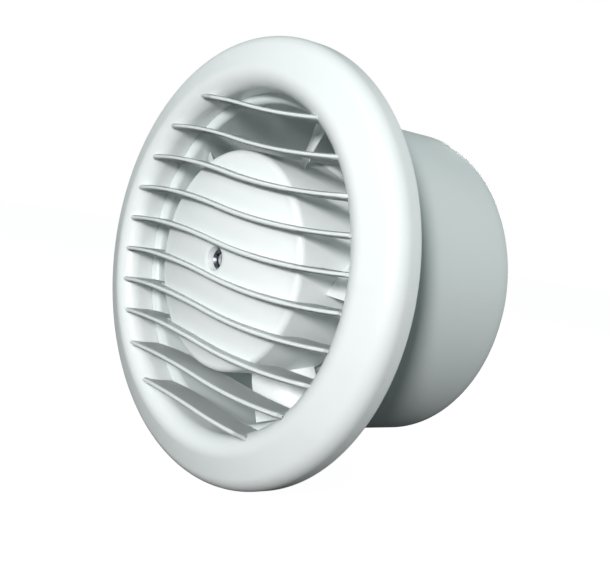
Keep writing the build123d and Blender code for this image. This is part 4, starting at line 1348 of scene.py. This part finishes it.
@dataclass
class MotorEnd:
    """The motor cup, its rear cover, and the terminal block, clamp, screws and leads on it."""

    cup_radius: float = 33.0
    cup_bore: float = 31.4
    cup_front: float = 17.0
    cup_floor: float = 19.0
    cup_back: float = 47.0
    plate_back: float = 48.6
    screw_reach: float = 28.6
    motor_screw_reach: float = 15.75
    block_half: Point2 = (9.5, 7.0)
    block_back: float = 56.6
    pole_reach: float = 5.0
    well_reach: float = 3.6
    clamp_z: float = 14.0
    clamp_reach: float = 6.2
    post_height: float = 3.4
    bar_height: float = 2.2
    lead_z: float = -16.0
    lead_radius: float = 0.9
    lead_start: float = 37.0
    lead_bend: float = 4.0
    lead_entry: float = 1.6
    shaft_hole: float = 5.8
    foot_round: float = 1.6

    @property
    def port_y(self) -> float:
        """y of the terminal block's wire ports."""
        return (self.plate_back + self.block_back) / 2

    def cup(self) -> Piece:
        """Turn the motor cup, with the screw bosses inside it.

        Returns:
            The cup.
        """
        foot, centre = self.foot_round, (self.cup_radius - self.foot_round, self.cup_front + self.foot_round)
        points = [(self.shaft_hole, self.cup_front), *arc(centre, foot, 270, 360, 8)]
        points += [(self.cup_radius, self.cup_back), (self.cup_bore, self.cup_back)]
        points += [(self.cup_bore, self.cup_floor), (self.shaft_hole, self.cup_floor)]
        cup = turn_profile("cup_body", points, 160)
        for x in (-self.motor_screw_reach, self.motor_screw_reach):
            cut(cup, rod("hole", 1.65, (x, self.cup_front - PAST, 0), (x, self.cup_floor + PAST, 0), 32))
        tidy(cup, TURNED_ANGLE, FINE_MERGE)
        bosses = [rod("boss", 3.2, (x, self.cup_floor - 0.2, 0), (x, self.cup_back - 1.8, 0), 40)
                  for x in (-self.screw_reach, self.screw_reach)]
        return join("motor_housing", [cup, *bosses])

    def cover(self) -> Piece:
        """Turn the rear cover and cut its holes.

        Returns:
            The rear cover.
        """
        r, back, rim = self.cup_radius, self.plate_back, 0.6
        points = [(0.0, self.cup_back), (r, self.cup_back), *arc((r - rim, back - rim), rim, 0, 90, 5)]
        points.append((0.0, back))
        cover = turn_profile("cover_plate", points, 160, closed=False)
        places = [(x, 0.0, 1.4) for x in (-self.screw_reach, self.screw_reach)]
        places += [(x, self.lead_z, 1.3) for x in (-self.pole_reach, self.pole_reach)]
        for x, z, radius in places:
            cut(cover, rod("hole", radius, (x, self.cup_back - PAST, z), (x, back + PAST, z), 32))
        for x in (-self.clamp_reach, self.clamp_reach):
            root, top = (x, back - 0.5, self.clamp_z), (x, back + self.post_height, self.clamp_z)
            cut(cover, rod("post", 2.1, root, top, 32, 0.2), "UNION")
        return tidy(cover, TURNED_ANGLE, FINE_MERGE)

    def terminal_block(self) -> Piece:
        """Cut the terminal block from a rounded bar.

        Returns:
            The terminal block.
        """
        (hx, hz), front, back = self.block_half, self.plate_back, self.block_back
        body = block("terminal_body", (-hx, front, -hz), (hx, back, hz), 0.7, 4)
        for x in (-self.pole_reach, self.pole_reach):
            cut(body, rod("port", 1.5, (x, self.port_y, -hz - PAST), (x, self.port_y, hz + PAST), 32))
            for z in (-self.well_reach, self.well_reach):
                cut(body, rod("well", 1.9, (x, self.port_y, z), (x, back + PAST, z), 32))
        cut(body, rod("head_well", 2.8, (0, back - 3.2, 0), (0, back + PAST, 0), 32))
        for z in (-hz, hz):
            cut(body, block("notch", (-0.6, front - PAST, z - 1.5), (0.6, back + PAST, z + 1.5)))
        return tidy(body, EVEN_ANGLE, FINE_MERGE)

    def clamp(self) -> Piece:
        """Make the strain relief bar with its cable groove.

        Returns:
            The strain relief bar.
        """
        front, reach, half_width = self.plate_back + self.post_height, 6.3, 2.2
        ends = arc((-reach, self.clamp_z), half_width, 90, 270, 10)
        ends += arc((reach, self.clamp_z), half_width, -90, 90, 10)
        bar = plate("clamp_bar", [(x, front, z) for x, z in ends], (0, self.bar_height, 0), 0.3)
        low, high = (0, front - 2, self.clamp_z - 4), (0, front - 2, self.clamp_z + 4)
        cut(bar, rod("groove", 3.1, low, high, 48))
        return tidy(bar, TURNED_ANGLE, FINE_MERGE)

    def lead(self, x: float) -> Piece:
        """Draw one lead out of the rear cover and up into the terminal block.

        Args:
            x: The lead's place across the cover, in mm.

        Returns:
            The lead.
        """
        leave_edit()
        start, bend = self.lead_start, self.lead_bend
        bpy.ops.mesh.primitive_circle_add(
            vertices=20, radius=self.lead_radius * MM, fill_type="NGON",
            location=Vector((x, start, self.lead_z)) * MM, rotation=(math.radians(-90), 0, 0))
        lead = bpy.context.object
        bpy.ops.object.transform_apply(location=True, rotation=True, scale=True)
        bpy.ops.object.mode_set(mode="EDIT")
        bpy.ops.mesh.select_all(action="SELECT")
        run = (self.port_y - bend - start) * MM
        bpy.ops.mesh.extrude_region_move(TRANSFORM_OT_translate={"value": (0, run, 0)})
        centre = Vector((x, self.port_y - bend, self.lead_z + bend)) * MM
        bpy.ops.mesh.spin(steps=10, angle=math.radians(90), center=centre, axis=(1, 0, 0))
        rise = (-self.block_half[1] + self.lead_entry - self.lead_z - bend) * MM
        bpy.ops.mesh.extrude_region_move(TRANSFORM_OT_translate={"value": (0, 0, rise)})
        bpy.ops.object.mode_set(mode="OBJECT")
        return tidy(lead, SHEET_ANGLE)

    def build(self, dresser: Dresser) -> None:
        """Build the motor end and attach it.

        Args:
            dresser: What hands over the finished pieces.
        """
        dresser.hand_over(self.cup(), SUPPORT, Body.BASE, "motor_cup")
        dresser.hand_over(self.cover(), SUPPORT, Body.BASE, "motor_cover")
        dresser.hand_over(self.terminal_block(), BLOCK_NYLON, Body.BASE, "terminal_block")
        dresser.hand_over(self.clamp(), BLOCK_NYLON, Body.BASE, "cable_clamp")
        turns = iter((20.0, 65.0, 110.0, 35.0, 80.0))
        head = self.plate_back + PAN_HEAD_HEIGHT
        screws = [pan_screw("cover_screw", (x, 0.0), head, 9.0, next(turns))
                  for x in (-self.screw_reach, self.screw_reach)]
        dresser.hand_over(join("plate_screws", screws), SCREW, Body.BASE, "cover_screws")
        head = self.plate_back + self.post_height + self.bar_height + PAN_HEAD_HEIGHT
        screws = [pan_screw("clamp_screw", (x, self.clamp_z), head, 5.2, next(turns))
                  for x in (-self.clamp_reach, self.clamp_reach)]
        dresser.hand_over(join("strain_screws", screws), SCREW, Body.BASE, "clamp_screws")
        screw = pan_screw("centre_screw", (0.0, 0.0), self.block_back - 1.5, 6.5, next(turns))
        dresser.hand_over(screw, SCREW, Body.BASE, "block_screw")
        leads = [self.lead(x) for x in (-self.pole_reach, self.pole_reach)]
        dresser.hand_over(join("leads", leads), LEAD, Body.BASE, "motor_leads")


# The studio


@dataclass
class Lamp:
    """One soft box."""

    name: str
    place: Point3
    target: Point3
    size: float
    power: float

    def build(self) -> Piece:
        """Hang the lamp where it is, turned to its target.

        Returns:
            The lamp.
        """
        data = bpy.data.lights.new(self.name, "AREA")
        data.shape = "DISK"
        data.size = self.size
        data.energy = self.power
        lamp = bpy.data.objects.new(self.name, data)
        lamp.location = self.place
        lamp.rotation_euler = (Vector(self.target) - Vector(self.place)).to_track_quat("-Z", "Y").to_euler()
        bpy.context.scene.collection.objects.link(lamp)
        return lamp


@dataclass
class Studio:
    """Floor, world, lamps and camera."""

    floor_z: float = -0.0668
    floor_size: float = 12.0
    floor_glow: float = 0.965
    world_strength: float = 0.26
    world_colour: Point3 = (0.82, 1.0, 0.99)
    floor_bounce: float = 0.1
    camera_place: Point3 = (0.24064, -0.19468, 0.01073)
    camera_angles: Point3 = (87.4272, -8.5649, 48.4623)
    lens: float = 61.311
    shift: Point2 = (-0.00035, -0.00288)
    lamps: tuple[Lamp, ...] = (
        Lamp("key", (0.72, -0.93, 0.24), (0, 0, 0), 0.2, 12.0),
        Lamp("fill", (0.379, -0.948, 0.632), (0, 0, 0), 0.53, 2.3),
        Lamp("back", (-0.5, 1.1, 0.3), (0, 0, 0), 0.5, 4.5),
    )

    def seen_white(self, desk: NodeDesk) -> Socket:
        """Make a mask that is 1 for what the camera sees directly or through something clear.

        Args:
            desk: Where the mask's nodes go.

        Returns:
            The mask's socket.
        """
        rays = desk.add("ShaderNodeLightPath")
        both = desk.add("ShaderNodeMath", operation="MAXIMUM")
        desk.link(rays.outputs["Is Camera Ray"], both.inputs[0])
        desk.link(rays.outputs["Is Transmission Ray"], both.inputs[1])
        return both.outputs["Value"]

    def floor(self) -> None:
        """Lay a plain pale floor that keeps a faint shadow."""
        leave_edit()
        bpy.ops.mesh.primitive_plane_add(size=self.floor_size, location=(0, 0, self.floor_z))
        floor = bpy.context.object
        floor.name = "studio_floor"
        material = bpy.data.materials.new("studio_floor")
        material.use_nodes = True
        material.node_tree.nodes.clear()
        desk = NodeDesk(material.node_tree)
        matt = desk.add("ShaderNodeBsdfDiffuse")
        matt.inputs["Color"].default_value = (self.floor_bounce, self.floor_bounce, self.floor_bounce, 1)
        white = desk.add("ShaderNodeEmission")
        white.inputs["Color"].default_value = (1, 1, 1, 1)
        white.inputs["Strength"].default_value = self.floor_glow
        both = desk.add("ShaderNodeAddShader")
        desk.link(matt.outputs["BSDF"], both.inputs[0])
        desk.link(white.outputs["Emission"], both.inputs[1])
        choose = desk.add("ShaderNodeMixShader")
        desk.link(self.seen_white(desk), choose.inputs["Fac"])
        desk.link(matt.outputs["BSDF"], choose.inputs[1])
        desk.link(both.outputs["Shader"], choose.inputs[2])
        surface = desk.add("ShaderNodeOutputMaterial")
        desk.link(choose.outputs["Shader"], surface.inputs["Surface"])
        floor.data.materials.append(material)

    def world(self) -> None:
        """Light the studio evenly, and show white to the camera."""
        world = bpy.data.worlds.new("studio")
        bpy.context.scene.world = world
        world.use_nodes = True
        world.node_tree.nodes.clear()
        desk = NodeDesk(world.node_tree)
        fill = desk.add("ShaderNodeBackground")
        fill.inputs["Color"].default_value = (*self.world_colour, 1)
        fill.inputs["Strength"].default_value = self.world_strength
        white = desk.add("ShaderNodeBackground")
        white.inputs["Color"].default_value = (1, 1, 1, 1)
        choose = desk.add("ShaderNodeMixShader")
        desk.link(self.seen_white(desk), choose.inputs["Fac"])
        desk.link(fill.outputs["Background"], choose.inputs[1])
        desk.link(white.outputs["Background"], choose.inputs[2])
        surface = desk.add("ShaderNodeOutputWorld")
        desk.link(choose.outputs["Shader"], surface.inputs["Surface"])

    def camera(self) -> None:
        """Set the camera at the photograph's viewing angle."""
        data = bpy.data.cameras.new("camera")
        data.sensor_fit = "HORIZONTAL"
        data.sensor_width = 36.0
        data.lens = self.lens
        data.shift_x, data.shift_y = self.shift
        data.clip_start = 0.01
        camera = bpy.data.objects.new("camera", data)
        camera.location = self.camera_place
        camera.rotation_euler = Euler([math.radians(a) for a in self.camera_angles], "XYZ")
        bpy.context.scene.collection.objects.link(camera)
        bpy.context.scene.camera = camera

    def build(self) -> None:
        """Build the whole studio."""
        bpy.context.scene.view_settings.view_transform = "Standard"
        self.floor()
        self.world()
        for lamp in self.lamps:
            lamp.build()
        self.camera()


def main() -> None:
    """Build the fan's sub-assemblies, the finishes and the studio."""
    logging.basicConfig(level=logging.INFO, format="%(name)s: %(message)s")
    dresser = Dresser()
    dresser.cad_nodes()
    for assembly in (FrontCover(), Impeller(), Housing(), MotorEnd()):
        assembly.build(dresser)
    Studio().build()
    leave_edit()


if __name__ == "__main__":
    main()
